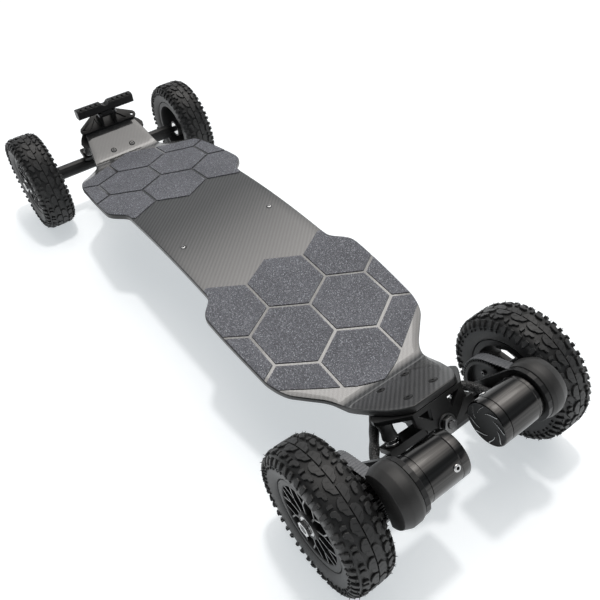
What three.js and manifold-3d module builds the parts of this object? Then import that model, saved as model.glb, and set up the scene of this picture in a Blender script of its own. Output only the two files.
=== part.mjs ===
// Electric mountainboard: an arched carbon deck with kicked-up ends, two king-bolt trucks with dampers,
// four knobby pneumatic wheels and two belt-driven rear wheels.
// Millimetres. +X is forward, +Y is left, +Z is up. The origin is on the ground, midway between the axles.

import * as THREE from "three";
import { mergeGeometries, mergeVertices } from "three/addons/utils/BufferGeometryUtils.js";
import Module from "manifold-3d";

const wasm = await Module();
wasm.setup();

// Whole board
const wheelbase = 994;
const track = 344;
const deckCrownRise = 72; // top of the deck at its middle, above the axles
const kickAngle = THREE.MathUtils.degToRad(33.8);

// Deck board and its grip pads
const deckThickness = 9;
const archSpan = 300;
const archDrop = 26;
const archEase = 2.5;
const concaveRise = 3.9;
const concaveFade = 60;
const bendRun = 13;
const waistHalf = 113;
const shoulderHalf = 139;
const cornerHalf = 123;
const bandHalf = 71.5;
const tailHalf = 62;
const tailCornerHalf = 47;
const tailEndHalf = 33;
const padSide = 61.1;
const padGap = 5;
const padRise = 1.2;
const padInset = 2;

// Battery enclosure and what it holds
const trayLength = 440;
const trayHalf = 84;
const trayCorner = 30;
const trayDepth = 54;
const trayWall = 3;
const lipWidth = 14;
const lipThickness = 5;
const packEndRoom = 85; // from the battery pack to the tray's ends, outside
const packSideRoom = 6;
const packTopRoom = 12;
const controllerLength = 48;
const controllerSideRoom = 26;
const controllerHeight = 22;
const finCount = 7;
const finHeight = 6;
const buttonRadius = 7;
const buttonTravel = 1.5;
const portRadius = 9;
const glandRadius = 9;
const glandLength = 9;

// Trucks
const kingDepth = 36; // king bolt axis below the deck
const axleDrop = 31; // axle below the king bolt axis
const axleSet = 52; // axle back from the deck's end, along the kick
const plateLength = 100;
const plateThickness = 6;
const plateHalf = 26;
const wallThickness = 7;
const wallHalf = 40;
const kingBossRadius = 14;
const kingRadius = 5;
const nutRadius = 10;
const nutThickness = 8;
const hangerBossRadius = 15;
const barRadius = 14;
const frontBarGap = 36; // from the ends of the front hanger's bar to the wheels' middles
const rearBarGap = 62;
const damperSet = 44;
const damperGap = 40; // from the dampers' axes to the motor mounts
const damperRadius = 12;
const damperLength = 33;
const earRadius = 14;
const armThickness = 8;
const armWidth = 26;
const webHalf = 13;

// Wheels
const tyreRadius = 100;
const tyreWidth = 60;
const lugHeight = 3.5;
const lugPitches = 16;
const rimWidth = 50;
const flangeRadius = 62.5;
const flangeThickness = 2.6;
const seatRadius = 57;
const rimWall = 3.5;
const hubRadius = 18;
const hubInner = 20; // the hub's inner face, from the wheel's middle
const hubOuter = 27; // and its outer face
const spokeCount = 10;
const spokeThickness = 2.8;
const forkRadius = 36; // where each spoke splits into two branches
const branchSpread = THREE.MathUtils.degToRad(10.8); // from a spoke's middle line to its branches' tips
const spokeTurn = THREE.MathUtils.degToRad(67.5);
const webThickness = 9;
const webOuter = 24; // the spokes' outer faces, from the wheel's middle
const bearingRadius = 14;
const bearingWidth = 8;
const axleRadius = 6;
const axleNutFlats = 19;
const axleNutThickness = 5.7;

// Drives
const beltPitch = 5;
const wheelTeeth = 62;
const motorTeeth = 16;
const toothHeight = 2;
const pitchLineRise = 0.57; // the belt's pitch line above the pulley's tips
const beltWidth = 15;
const beltThickness = 2.4;
const beltClearance = 12; // from the belt to the tyre
const pulleySpare = 1; // the pulleys' faces past the belt's edges
const pulleyFlange = 2;
const motorBack = 61; // motor axis behind the axle
const motorUp = 63; // motor axis above the axle
const motorRadius = 31.2;
const motorInner = 27; // the motors' inner faces, from the centre plane
const capThickness = 10;
const leafCount = 8;
const grooveDepth = 1;
const grooveWidth = 1.6;
const grooveSet = 8; // the can's groove, from its outer face
const mountClearance = 11; // from the motor mount to the belt
const mountThickness = 7;
const mountLobe = 37;
const mountClamp = 24;
const shaftRadius = 4;
const coverRadius = 39.5;
const coverNose = 36.5;
const coverFace = 34;
const coverTaper = 5.5;
const coverFlat = 12;
const coverWall = 2.5;
const coverClearance = 4; // from the belt to the cover's outer face
const cableRadius = 6;
const cableGland = 8;
const cableSet = 10; // the cable's middle at the motor, in from the motor mount
const glandRise = 4;

// Nose bracket and lamp bar
const bracketThickness = 5;
const bracketEarSpread = 54;
const bracketEarRadius = 8.5;
const bracketHoleRadius = 3.2;
const bracketFrontHalf = 29;
const deckBoltSet = 25.5; // outer deck bolts, back from the deck's end
const pivotSet = 19; // the lamp's tilt axis, back from the deck's end
const pivotRise = 24; // and above the bracket
const cheekSpread = 17;
const cheekThickness = 5;
const cheekRadius = 6;
const tiltRadius = 2.5;
const lampLength = 122;
const lampHeight = 19;
const lampDepth = 19;
const lampBevel = 3;
const lampArm = 16.5; // from the tilt axis to the middle of the bar
const notchRadius = 9;
const slotCount = 4;
const slotWidth = 4;
const slotDepth = 2.5;
const lensInset = 4;

// Clearances
const seat = 0.3; // between pieces that rest on each other
const run = 0.5; // round turning pieces
const overrun = 2; // past a face that a cut goes through
const weld = 1e-4;

// Worked out from the above
const axleX = wheelbase / 2;
const crownHeight = tyreRadius + deckCrownRise;
const kick = new THREE.Vector2(Math.cos(kickAngle), Math.sin(kickAngle));
const axleDepth = kingDepth + axleDrop;
// The under-edge of the deck's end, where each truck's own frame starts: x along the kick, z up off the deck.
const endX = axleX + axleSet * kick.x - axleDepth * kick.y;
const endZ = tyreRadius + axleSet * kick.y + axleDepth * kick.x;
const deckEndX = endX - deckThickness * kick.y;
const deckEndZ = endZ + deckThickness * kick.x;
// Faces square to the axles, from the centre plane.
const beltInner = (track - tyreWidth) / 2 - beltClearance - beltWidth;
const mountInner = beltInner - mountClearance - mountThickness;
const coverOuter = beltInner + beltWidth + coverClearance;
const cableY = mountInner - cableSet;
const damperSpread = mountInner - damperGap;
const frontBarHalf = track / 2 - frontBarGap;
const rearBarHalf = track / 2 - rearBarGap;

// Kit: geometry to solids and back

function solid(geometry) {
  const bare = geometry.clone();
  bare.deleteAttribute("normal");
  bare.deleteAttribute("uv");
  const merged = mergeVertices(bare, weld);
  const corners = [];
  for (let i = 0; i < merged.index.count; i += 3) {
    const [a, b, c] = [0, 1, 2].map((k) => merged.index.getX(i + k));
    if (a !== b && b !== c && c !== a) corners.push(a, b, c);
  }
  const build = (order) =>
    new wasm.Manifold(
      new wasm.Mesh({
        numProp: 3,
        vertProperties: merged.attributes.position.array,
        triVerts: new Uint32Array(order),
      }),
    );
  const made = build(corners);
  return made.volume() < 0 ? build(corners.reverse()) : made;
}

function geometryOf(body) {
  const mesh = body.getMesh();
  const geometry = new THREE.BufferGeometry();
  geometry.setAttribute("position", new THREE.BufferAttribute(mesh.vertProperties, 3));
  geometry.setIndex(new THREE.BufferAttribute(mesh.triVerts, 1));
  geometry.computeVertexNormals();
  return geometry;
}

const join = (...bodies) => bodies.reduce((all, body) => all.add(body));
const cut = (body, ...tools) => tools.reduce((left, tool) => left.subtract(tool), body);
const common = (...bodies) => bodies.reduce((all, body) => all.intersect(body));

// Kit: shapes

const place = (geometry, x, y, z) => geometry.clone().translate(x, y, z);

function rod(radius, length, sides, axis = "y") {
  const geometry = new THREE.CylinderGeometry(radius, radius, length, sides);
  if (axis === "x") geometry.rotateZ(-Math.PI / 2);
  if (axis === "z") geometry.rotateX(Math.PI / 2);
  return geometry;
}

function block([x0, x1], [y0, y1], [z0, z1]) {
  const geometry = new THREE.BoxGeometry(x1 - x0, y1 - y0, z1 - z0);
  return geometry.translate((x0 + x1) / 2, (y0 + y1) / 2, (z0 + z1) / 2);
}

// Points along an arc, both ends included.
function arc(x, y, radius, from, to, steps) {
  return Array.from({ length: steps + 1 }, (_, i) => {
    const angle = from + ((to - from) * i) / steps;
    return [x + radius * Math.cos(angle), y + radius * Math.sin(angle)];
  });
}

// Points of a whole circle.
const circle = (x, y, radius, steps) => arc(x, y, radius, 0, 2 * Math.PI, steps).slice(1);

const vectors = (pairs) => pairs.map(([x, y]) => new THREE.Vector2(x, y));

function outline(pairs, holes = []) {
  const shape = new THREE.Shape(vectors(pairs));
  shape.holes.push(...holes.map((hole) => new THREE.Path(vectors(hole))));
  return shape;
}

// A solid turned about the Y axis, from [radius, y] pairs from axis to axis, or from a closed ring of them.
const turned = (pairs, sides) => new THREE.LatheGeometry(vectors(pairs), sides);
const ringOf = (pairs, sides) => turned([...pairs, pairs[0]], sides);

// A plane outline in XY pushed from z0 to z1, one in XZ pushed from y0 to y1, one in YZ pushed from x0 to x1.
function prism(shape, z0, z1) {
  const geometry = new THREE.ExtrudeGeometry(shape, { depth: z1 - z0, bevelEnabled: false });
  return geometry.translate(0, 0, z0);
}
const prismY = (shape, y0, y1) => prism(shape, -y1, -y0).rotateX(Math.PI / 2);
const prismX = (shape, x0, x1) => prism(shape, x0, x1).rotateX(Math.PI / 2).rotateZ(Math.PI / 2);

// A skin over rings of points, all with the same count; looped, or closed at its ends by thin caps.
function skin(rings, looped = false) {
  const count = rings[0].length;
  const positions = rings.flat().flatMap((p) => [p.x, p.y, p.z]);
  const index = [];
  const last = looped ? rings.length : rings.length - 1;
  for (let i = 0; i < last; i++) {
    const next = (i + 1) % rings.length;
    for (let j = 0; j < count; j++) {
      const [a, b] = [i * count + j, i * count + ((j + 1) % count)];
      const [c, d] = [next * count + j, next * count + ((j + 1) % count)];
      index.push(a, c, b, b, c, d);
    }
  }
  if (!looped) {
    const cap = thinCap(count);
    const shift = (rings.length - 1) * count;
    index.push(...cap, ...cap.map((j) => j + shift).reverse());
  }
  const geometry = new THREE.BufferGeometry();
  geometry.setAttribute("position", new THREE.Float32BufferAttribute(positions, 3));
  geometry.setIndex(index);
  return geometry;
}

// The triangles of a cap whose ring runs out along one side and back along the other.
function thinCap(count) {
  const triangles = [];
  for (let j = 0; j < count / 2 - 1; j++) {
    const back = count - 1 - j;
    triangles.push(j, j + 1, back, j + 1, back - 1, back);
  }
  return triangles;
}

function hexNut(flats, bore, boreSides) {
  return outline(circle(0, 0, flats / Math.sqrt(3), 6), [circle(0, 0, bore, boreSides)]);
}

// Deck: the curve of its top, the slabs that follow it, and its outline

const archHeight = (x) => crownHeight - archDrop * (x / archSpan) ** 2 + archEase * (x / archSpan) ** 4;
const kickHeight = (x) => deckEndZ - (deckEndX - x) * Math.tan(kickAngle);

// Where the arch meets the kick.
function bendPlace() {
  let [low, high] = [0, deckEndX];
  for (let i = 0; i < 40; i++) {
    const middle = (low + high) / 2;
    if (archHeight(middle) > kickHeight(middle)) low = middle;
    else high = middle;
  }
  return low;
}
const bendX = bendPlace();

// Height of the deck's top at |x|: the arch, a short smooth bend, then the straight kick.
function deckHeight(x) {
  const [from, to] = [bendX - bendRun, bendX + bendRun];
  if (x <= from) return archHeight(x);
  if (x >= to) return kickHeight(x);
  const t = (x - from) / (to - from);
  return (1 - t) ** 2 * archHeight(from) + 2 * t * (1 - t) * kickHeight(bendX) + t ** 2 * kickHeight(to);
}

const archShares = [0, 0.32, 0.6, 0.83];
const bendShares = [-1, 0, 1];
const halfStations = [
  ...archShares.map((share) => share * bendX),
  ...bendShares.map((share) => bendX + share * bendRun),
  deckEndX,
];
const stations = [...halfStations.slice(1).reverse().map((x) => -x), ...halfStations];

// A point off the deck's top by `off`, square to it; the concave lifts it away from the middle line.
function deckPoint(x, y, off) {
  const reach = Math.abs(x);
  const step = bendRun / 10;
  const slope = reach < step ? 0 : (deckHeight(reach) - deckHeight(reach - step)) / step;
  const tilt = Math.atan(slope);
  const fade = THREE.MathUtils.clamp((bendX - reach) / concaveFade, 0, 1);
  const rise = concaveRise * fade * (y / shoulderHalf) ** 2;
  return new THREE.Vector3(
    x - Math.sign(x) * Math.sin(tilt) * off,
    y,
    deckHeight(reach) + rise + Math.cos(tilt) * off,
  );
}

// A slab between two distances off the deck's top.
function slab(bottom, top, places = stations) {
  const half = shoulderHalf + overrun;
  const across = [-1, -0.5, 0, 0.5, 1].map((share) => share * half);
  return skin(
    places.map((x) => [
      ...across.map((y) => deckPoint(x, y, top)),
      ...across.toReversed().map((y) => deckPoint(x, y, bottom)),
    ]),
  );
}

// A quarter of the deck's outline, from the middle of its side to its end, by shares of its half length.
const waistEndShare = 0.27;
const shoulderShare = 0.37;
const cornerShare = 0.64;
const notchShare = 0.722;
const neckShare = 0.77;
const bandShare = 0.83;
const tailShare = 0.9;
const tailCornerShare = 0.955;

function quarterOutline(inset) {
  const at = (share, half) => new THREE.Vector2(share * deckEndX, half - inset);
  const curve = (...points) =>
    points.length === 4 ? new THREE.CubicBezierCurve(...points) : new THREE.QuadraticBezierCurve(...points);
  const corner = at(cornerShare, shoulderHalf * 0.955);
  const notch = at(notchShare, cornerHalf * 0.92);
  const band = at(bandShare, bandHalf * 0.985);
  const shoulder = at(shoulderShare, shoulderHalf);
  const waist = at(waistEndShare, waistHalf);
  const tail = at(tailCornerShare, tailCornerHalf * 1.12);
  const curves = [
    curve(waist, at(0.31, waistHalf), at(0.32, shoulderHalf), shoulder),
    curve(shoulder, at(0.47, shoulderHalf), at(0.57, shoulderHalf * 0.97), corner),
    curve(corner, at(0.7, cornerHalf * 1.03), notch),
    curve(at(neckShare, bandHalf * 1.22), at(0.8, bandHalf * 1.01), band),
    curve(tail, at(0.99, tailCornerHalf * 0.93), new THREE.Vector2(deckEndX - inset, tailEndHalf - inset)),
  ];
  const bends = curves.map((one) => one.getPoints(3));
  return [at(0, waistHalf), ...bends.slice(0, 4).flat(), at(tailShare, tailHalf), ...bends[4]].filter(
    (p, i, all) => i === 0 || p.distanceTo(all[i - 1]) > weld,
  );
}

function deckOutline(inset = 0) {
  const quarter = quarterOutline(inset);
  const turn = (sx, sy) => quarter.map((p) => new THREE.Vector2(sx * p.x, sy * p.y));
  return new THREE.Shape([
    ...turn(1, 1).slice(1),
    ...turn(1, -1).reverse(),
    ...turn(-1, -1).slice(1),
    ...turn(-1, 1).reverse(),
  ]);
}

const skyZ = 2 * crownHeight;

// Centres of one end's hexagonal pads: three rows, the middle one set off by half a pad.
const padRowShare = 0.548;
const padPitch = Math.sqrt(3) * padSide;

function padCentres() {
  const middle = padRowShare * deckEndX;
  const rows = [
    [-1, [-1, 0, 1]],
    [0, [-1.5, -0.5, 0.5, 1.5]],
    [1, [-1, 0, 1]],
  ];
  return rows.flatMap(([row, sides]) => sides.map((side) => [middle + row * 1.5 * padSide, side * padPitch]));
}

// The area that the pads may cover: the deck's outline drawn in, closed by a blunt nose at the bend.
const padNoseShares = [
  [0.84, 0.86],
  [0.965, 0.37],
  [1.01, 0.12],
];

function padField() {
  const nose = padNoseShares.map(([along, half]) => [along * bendX, half * shoulderHalf]);
  const side = [[0, shoulderHalf], ...nose];
  const mirrored = side.map(([x, y]) => [x, -y]).reverse();
  const field = solid(prism(outline([...side, ...mirrored]), 0, skyZ));
  return common(field, solid(prism(deckOutline(padInset), 0, skyZ)));
}

function deckBoard() {
  const board = common(solid(slab(-deckThickness, 0)), solid(prism(deckOutline(), 0, skyZ)));
  const layer = solid(slab(-deckThickness / 2, padRise, halfStations));
  const reach = padSide - padGap / Math.sqrt(3);
  const pads = padCentres().map(([x, y]) => prism(outline(circle(x, y, reach, 6)), 0, skyZ));
  const front = common(layer, solid(mergeGeometries(pads)), padField());
  const rear = solid(geometryOf(front).rotateZ(Math.PI));
  return join(board, front, rear);
}

// Enclosure: a tray that hangs from the deck's underside

const trayBottom = crownHeight - deckThickness - trayDepth;
const trayFloor = trayBottom + trayWall;
const packBottom = trayFloor + seat;
const packLength = trayLength - 2 * packEndRoom;
const packWidth = 2 * (trayHalf - trayWall - packSideRoom);
const packHeight = trayDepth - packTopRoom;
const controllerWidth = 2 * (trayHalf - trayWall - controllerSideRoom);
const fittingX = trayLength / 5; // the button ahead of the middle, the port behind it
const fittingZ = trayBottom + trayDepth * 0.4;
const glandZ = trayBottom + trayDepth * 0.46;
const glandY = trayHalf - trayCorner - glandRadius / 2;

function roundedPlan(length, half, corner, steps = 3) {
  const [x, y] = [length / 2 - corner, half - corner];
  const quarters = [
    [x, y],
    [-x, y],
    [-x, -y],
    [x, -y],
  ];
  return outline(
    quarters.flatMap(([cx, cy], k) => arc(cx, cy, corner, (k * Math.PI) / 2, ((k + 1) * Math.PI) / 2, steps)),
  );
}

function enclosureTray() {
  const under = -deckThickness - seat;
  const places = stations.filter((x) => Math.abs(x) < bendX - bendRun);
  const room = solid(slab(under - 2 * trayDepth, under, places));
  const lipRoom = solid(slab(under - lipThickness, under, places));
  const shell = solid(prism(roundedPlan(trayLength, trayHalf, trayCorner), trayBottom, skyZ));
  const hollowPlan = roundedPlan(trayLength - 2 * trayWall, trayHalf - trayWall, trayCorner - trayWall);
  const hollow = solid(prism(hollowPlan, trayFloor, skyZ));
  const lipPlan = roundedPlan(trayLength + 2 * lipWidth, trayHalf + lipWidth, trayCorner);
  const lip = common(lipRoom, solid(prism(lipPlan, trayBottom, skyZ)));
  const glandX = -(trayLength + glandLength) / 2 + trayWall / 2;
  const glands = [-1, 1].map((side) =>
    solid(place(rod(glandRadius, glandLength + trayWall, 10, "x"), glandX, side * glandY, glandZ)),
  );
  const holes = [
    [buttonRadius + run, fittingX],
    [portRadius + seat, -fittingX],
  ].map(([radius, x]) => solid(place(rod(radius, 4 * trayWall, 12), x, -trayHalf, fittingZ)));
  return cut(join(common(shell, room), lip, ...glands), hollow, ...holes);
}

function batteryPack() {
  const top = packBottom + packHeight;
  const body = solid(prism(roundedPlan(packLength, packWidth / 2, trayWall, 1), packBottom, top));
  const seams = [-1, 0, 1].map((side) => {
    const y = (side * packWidth) / 4;
    return block([-packLength, packLength], [y - run, y + run], [top - trayWall, top + overrun]);
  });
  return cut(body, solid(mergeGeometries(seams)));
}

function motorController() {
  const middle = -(packLength + trayLength) / 4;
  const [x0, x1] = [middle - controllerLength / 2, middle + controllerLength / 2];
  const top = packBottom + controllerHeight;
  const half = controllerWidth / 2;
  const body = solid(block([x0, x1], [-half, half], [packBottom, top]));
  const pitch = controllerWidth / finCount;
  const [along, up] = [
    [x0 - overrun, x1 + overrun],
    [top - finHeight, top + overrun],
  ];
  const slots = [];
  for (let i = 1; i < finCount; i++) {
    const y = -half + i * pitch;
    slots.push(block(along, [y - pitch / 4, y + pitch / 4], up));
  }
  return cut(body, solid(mergeGeometries(slots)));
}

// The button's cap in the tray's side, with a collar behind the wall that keeps it in.
function powerButton() {
  const outer = -trayHalf - buttonTravel;
  const inner = -trayHalf + trayWall + buttonTravel;
  const profile = [
    [0, outer],
    [buttonRadius, outer],
    [buttonRadius, inner],
    [buttonRadius + trayWall, inner],
    [buttonRadius + trayWall, inner + trayWall],
    [0, inner + trayWall],
  ];
  return solid(place(turned(profile, 12), fittingX, 0, fittingZ));
}

// A round socket.
function chargePort() {
  const [outer, inner] = [-trayHalf, -trayHalf + 3 * trayWall];
  const well = portRadius * 0.65;
  const profile = [
    [0, inner],
    [portRadius, inner],
    [portRadius, outer],
    [well, outer],
    [well, inner - trayWall],
    [0, inner - trayWall],
  ];
  return solid(place(turned(profile, 12), -fittingX, 0, fittingZ));
}

// Truck, in its own frame: x out along the kick from the deck's end, y across, z up off the deck's underside

const kingZ = -kingDepth;
const barZ = -axleDepth;
const wallInner = -plateLength + wallThickness;
const armTop = -plateThickness - damperLength - 2 * seat;

function topTruck() {
  const neck = -damperSet - 2 * earRadius;
  const side = [
    [0, wallHalf],
    ...arc(-damperSet, damperSpread, earRadius, Math.PI / 4, Math.PI * 1.1, 4),
    [neck, plateHalf],
    [-plateLength, plateHalf],
  ];
  const mirrored = side.map(([x, y]) => [x, -y]).reverse();
  const plate = solid(prism(outline([...side, ...mirrored]), -plateThickness, -seat));
  const outer = solid(prismX(endWall(wallHalf), -wallThickness, 0));
  const inner = solid(prismX(endWall(plateHalf), -plateLength, wallInner));
  const bore = solid(place(rod(kingRadius + seat, 2 * plateLength, 12, "x"), 0, 0, kingZ));
  const windows = [-1, 1].map((hand) => solid(prismX(wallWindow(hand), -wallThickness - overrun, overrun)));
  return cut(join(plate, outer, inner), bore, ...windows);
}

// An end wall: as wide as the plate at the top, drawn in to the round boss of the king bolt.
function endWall(half) {
  const side = [
    [half, -seat],
    [half, kingZ * 0.5],
    [half * 0.65, kingZ * 0.86],
  ];
  const mirrored = side.map(([y, z]) => [-y, z]).reverse();
  const boss = arc(0, kingZ, kingBossRadius, -Math.PI / 8, (-7 * Math.PI) / 8, 4);
  return outline([...side, ...boss, ...mirrored]);
}

// A three-cornered lightening window beside the king boss.
function wallWindow(hand) {
  const top = -plateThickness - 2 * seat;
  return outline([
    [hand * wallHalf * 0.85, top],
    [hand * wallHalf * 0.35, top],
    [hand * wallHalf * 0.4, kingZ * 0.62],
  ]);
}

function kingBolt() {
  const back = -plateLength - seat - nutThickness;
  const tip = seat + nutThickness + overrun;
  const profile = [
    [0, back],
    [nutRadius * 0.9, back],
    [nutRadius * 0.9, -plateLength - seat],
    [kingRadius, -plateLength - seat],
    [kingRadius, tip],
    [0, tip],
  ];
  return solid(place(turned(profile, 12).rotateZ(-Math.PI / 2), 0, 0, kingZ));
}

function kingNut() {
  const nut = hexNut(2 * nutRadius * 0.9, kingRadius + seat, 12);
  return solid(place(prismX(nut, seat, seat + nutThickness), 0, 0, kingZ));
}

function hanger(barHalf) {
  const [from, to] = [wallInner + run, -wallThickness - run];
  const boss = solid(place(rod(hangerBossRadius, to - from, 14, "x"), (from + to) / 2, 0, kingZ));
  const bar = solid(place(rod(barRadius, 2 * barHalf, 14), -axleSet, 0, barZ));
  const web = solid(
    prismY(
      outline([
        [-axleSet - 2 * barRadius, kingZ],
        [-axleSet - barRadius * 0.95, barZ],
        [-axleSet + barRadius * 0.95, barZ],
        [-axleSet + 2 * barRadius, kingZ],
      ]),
      -webHalf,
      webHalf,
    ),
  );
  const bore = solid(place(rod(kingRadius + run, 2 * plateLength, 12, "x"), 0, 0, kingZ));
  const axleBore = solid(place(rod(axleRadius + seat, 2 * barHalf + overrun, 12), -axleSet, 0, barZ));
  return cut(join(boss, bar, web, hangerArms()), bore, axleBore);
}

// The arms that carry the dampers: level seats at their tips, a deepening root under the king boss.
function hangerArms() {
  const tip = damperSpread + earRadius;
  const side = [
    [hangerBossRadius, kingZ - hangerBossRadius * 0.3],
    [damperSpread - earRadius, armTop],
    [tip, armTop],
    [tip, armTop - armThickness],
    [damperSpread - earRadius, barZ + barRadius * 0.4],
    [webHalf, barZ],
  ];
  const mirrored = side.map(([y, z]) => [-y, z]).reverse();
  return solid(prismX(outline([...side, ...mirrored]), -damperSet - armWidth / 2, -damperSet + armWidth / 2));
}

function damper() {
  const half = damperLength / 2;
  const profile = [
    [0, -half],
    [damperRadius, -half],
    [damperRadius, -half * 0.3],
    [damperRadius * 0.8, 0],
    [damperRadius, half * 0.3],
    [damperRadius, half],
    [0, half],
  ];
  return solid(place(turned(profile, 10).rotateX(Math.PI / 2), -damperSet, 0, armTop + seat + half));
}

// Wheel, about the Y axis at the wheel's middle

// One cross-section of the tyre, with its left or its right lugs raised.
function tyreSection(angle, leftRaised) {
  const half = tyreWidth / 2;
  const [bore, clear] = [seatRadius + seat, flangeRadius + seat];
  const bead = rimWidth / 2 - flangeThickness - seat;
  const side = (raised, sign) => {
    const crown = tyreRadius - (raised ? 0 : lugHeight);
    return [
      [bore, sign * bead],
      [clear, sign * bead],
      [clear + (crown - clear) * 0.55, sign * half],
      [crown * 0.96, sign * half * 0.85],
      [crown, sign * half * 0.45],
    ];
  };
  const ring = [...side(leftRaised, 1), [tyreRadius - lugHeight / 3, 0], ...side(!leftRaised, -1).reverse()];
  return ring.map(([r, y]) => new THREE.Vector3(r * Math.cos(angle), y, r * Math.sin(angle)));
}

function tyre() {
  const rings = Array.from({ length: 2 * lugPitches }, (_, k) =>
    tyreSection((k * Math.PI) / lugPitches, k % 2 === 0),
  );
  return solid(skin(rings, true));
}

// The windows that leave Y-shaped spokes: one between each two spokes and one in each fork.
function spokeWindows() {
  const half = spokeThickness / 2;
  const [root, edge] = [hubRadius + half, seatRadius - rimWall - half];
  const reach = new THREE.Vector2(edge * Math.cos(branchSpread) - forkRadius, edge * Math.sin(branchSpread));
  const lean = reach.angle();
  const tipHalf = half / edge / Math.cos(lean - branchSpread);
  const tip = (angle) => [edge * Math.cos(angle), edge * Math.sin(angle)];
  const flank = [[root, half], [forkRadius - half * Math.tan(lean / 2), half], tip(branchSpread + tipHalf)];
  const mirrored = flank.map(([x, y]) => [x, -y]).reverse();
  const turn = (angle) => ([x, y]) => [
    x * Math.cos(angle) - y * Math.sin(angle),
    x * Math.sin(angle) + y * Math.cos(angle),
  ];
  const inside = branchSpread - tipHalf;
  const fork = [[forkRadius + half / Math.sin(lean), 0], tip(inside), tip(-inside)];
  const pitch = (2 * Math.PI) / spokeCount;
  const tools = Array.from({ length: spokeCount }, (_, k) => {
    const angle = spokeTurn + k * pitch;
    const wide = [...flank.map(turn(angle)), ...mirrored.map(turn(angle + pitch))];
    return [wide, fork.map(turn(angle))].map((shape) => prismY(outline(shape), -rimWidth, rimWidth));
  });
  return solid(mergeGeometries(tools.flat()));
}

function rim() {
  const half = rimWidth / 2;
  const wall = seatRadius - rimWall;
  const webInner = webOuter - webThickness;
  const core = hubRadius * 0.95;
  const barrel = [
    [flangeRadius, half],
    [seatRadius, half - flangeThickness],
    [seatRadius, -half + flangeThickness],
    [flangeRadius, -half],
    [wall, -half],
    [wall, webInner],
    [core, webInner],
    [core, webOuter],
    [wall, webOuter],
    [wall, half],
  ];
  const bore = bearingRadius + seat;
  const hub = [
    [hubRadius, hubOuter],
    [hubRadius, -hubInner],
    [bore, -hubInner],
    [bore, hubOuter],
  ];
  return join(cut(solid(ringOf(barrel, 2 * spokeCount)), spokeWindows()), solid(ringOf(hub, 12)));
}

function bearing() {
  const half = bearingWidth / 2;
  const inner = axleRadius + seat;
  return solid(
    ringOf([[inner, -half], [bearingRadius, -half], [bearingRadius, half], [inner, half]], 12),
  );
}

const axleNut = () => solid(prismY(hexNut(axleNutFlats, axleRadius + seat, 12), 0, axleNutThickness));

// Drive, in a frame at the axle: x away from the deck's middle, y away from the centre plane, z up

const pitchRadius = (teeth) => (teeth * beltPitch) / (2 * Math.PI);
const motorPitch = pitchRadius(motorTeeth);
const wheelPitch = pitchRadius(wheelTeeth);
const centreReach = Math.hypot(motorBack, motorUp);
const motorAim = Math.atan2(motorUp, motorBack);
const pulleyInner = beltInner - pulleySpare;
const pulleyOuter = beltInner + beltWidth + pulleySpare;
const atMotor = (geometry) => geometry.translate(motorBack, 0, motorUp);

// A toothed outline, one ridge and one valley for each tooth.
function toothed(teeth) {
  const tip = pitchRadius(teeth) - pitchLineRise;
  const points = Array.from({ length: 2 * teeth }, (_, k) => {
    const angle = (k * Math.PI) / teeth;
    const reach = k % 2 ? tip - toothHeight : tip;
    return [reach * Math.cos(angle), reach * Math.sin(angle)];
  });
  return outline(points);
}

// The wheel's pulley: a dished drum with a flange on the wheel's side and a hub that reaches the rim.
function wheelPulley() {
  const hubEnd = track / 2 - hubInner - seat;
  const tip = wheelPitch - pitchLineRise;
  const flange = wheelPitch + beltThickness + pulleySpare;
  const dish = tip - 3 * toothHeight;
  const bore = axleRadius + 2 * run;
  const profile = [
    [bore, (pulleyInner + pulleyOuter) / 2],
    [dish, (pulleyInner + pulleyOuter) / 2],
    [dish, pulleyInner],
    [tip, pulleyInner],
    [tip, pulleyOuter],
    [flange, pulleyOuter],
    [flange, pulleyOuter + pulleyFlange],
    [hubRadius, pulleyOuter + pulleyFlange],
    [hubRadius, hubEnd],
    [bore, hubEnd],
  ];
  return solid(ringOf(profile, 20));
}

function motorPulley() {
  const pulley = solid(prismY(toothed(motorTeeth), pulleyInner, pulleyOuter));
  const middle = (pulleyOuter + mountInner) / 2;
  const shaft = solid(place(rod(shaftRadius, pulleyOuter - mountInner, 8), 0, middle, 0));
  return solid(atMotor(geometryOf(join(pulley, shaft))));
}

// The belt's loop at a distance off both pulleys' pitch lines: two arcs and the straights between them.
function beltLoop(off) {
  const side = Math.PI / 2 - Math.asin((wheelPitch - motorPitch) / centreReach);
  return [
    ...arc(0, 0, wheelPitch + off, motorAim + side, motorAim - side + 2 * Math.PI, 18),
    ...arc(motorBack, motorUp, motorPitch + off, motorAim - side, motorAim + side, 6),
  ];
}

const belt = () =>
  solid(prismY(outline(beltLoop(beltThickness), [beltLoop(0)]), beltInner, beltInner + beltWidth));

function motorCan() {
  const [inner, outer] = [motorInner + capThickness + seat, mountInner - seat];
  const groove = outer - grooveSet;
  const profile = [
    [0, inner],
    [motorRadius, inner],
    [motorRadius, groove],
    [motorRadius - grooveDepth, groove],
    [motorRadius - grooveDepth, groove + grooveWidth],
    [motorRadius, groove + grooveWidth],
    [motorRadius, outer],
    [0, outer],
  ];
  const can = solid(atMotor(turned(profile, 20)));
  const boss = rod(cableGland, motorRadius, 10, "x").translate(motorRadius / 2 + glandRise, 0, 0);
  boss.rotateY(-cableAim()).translate(0, cableY, 0);
  return join(can, solid(atMotor(boss)));
}

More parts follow.
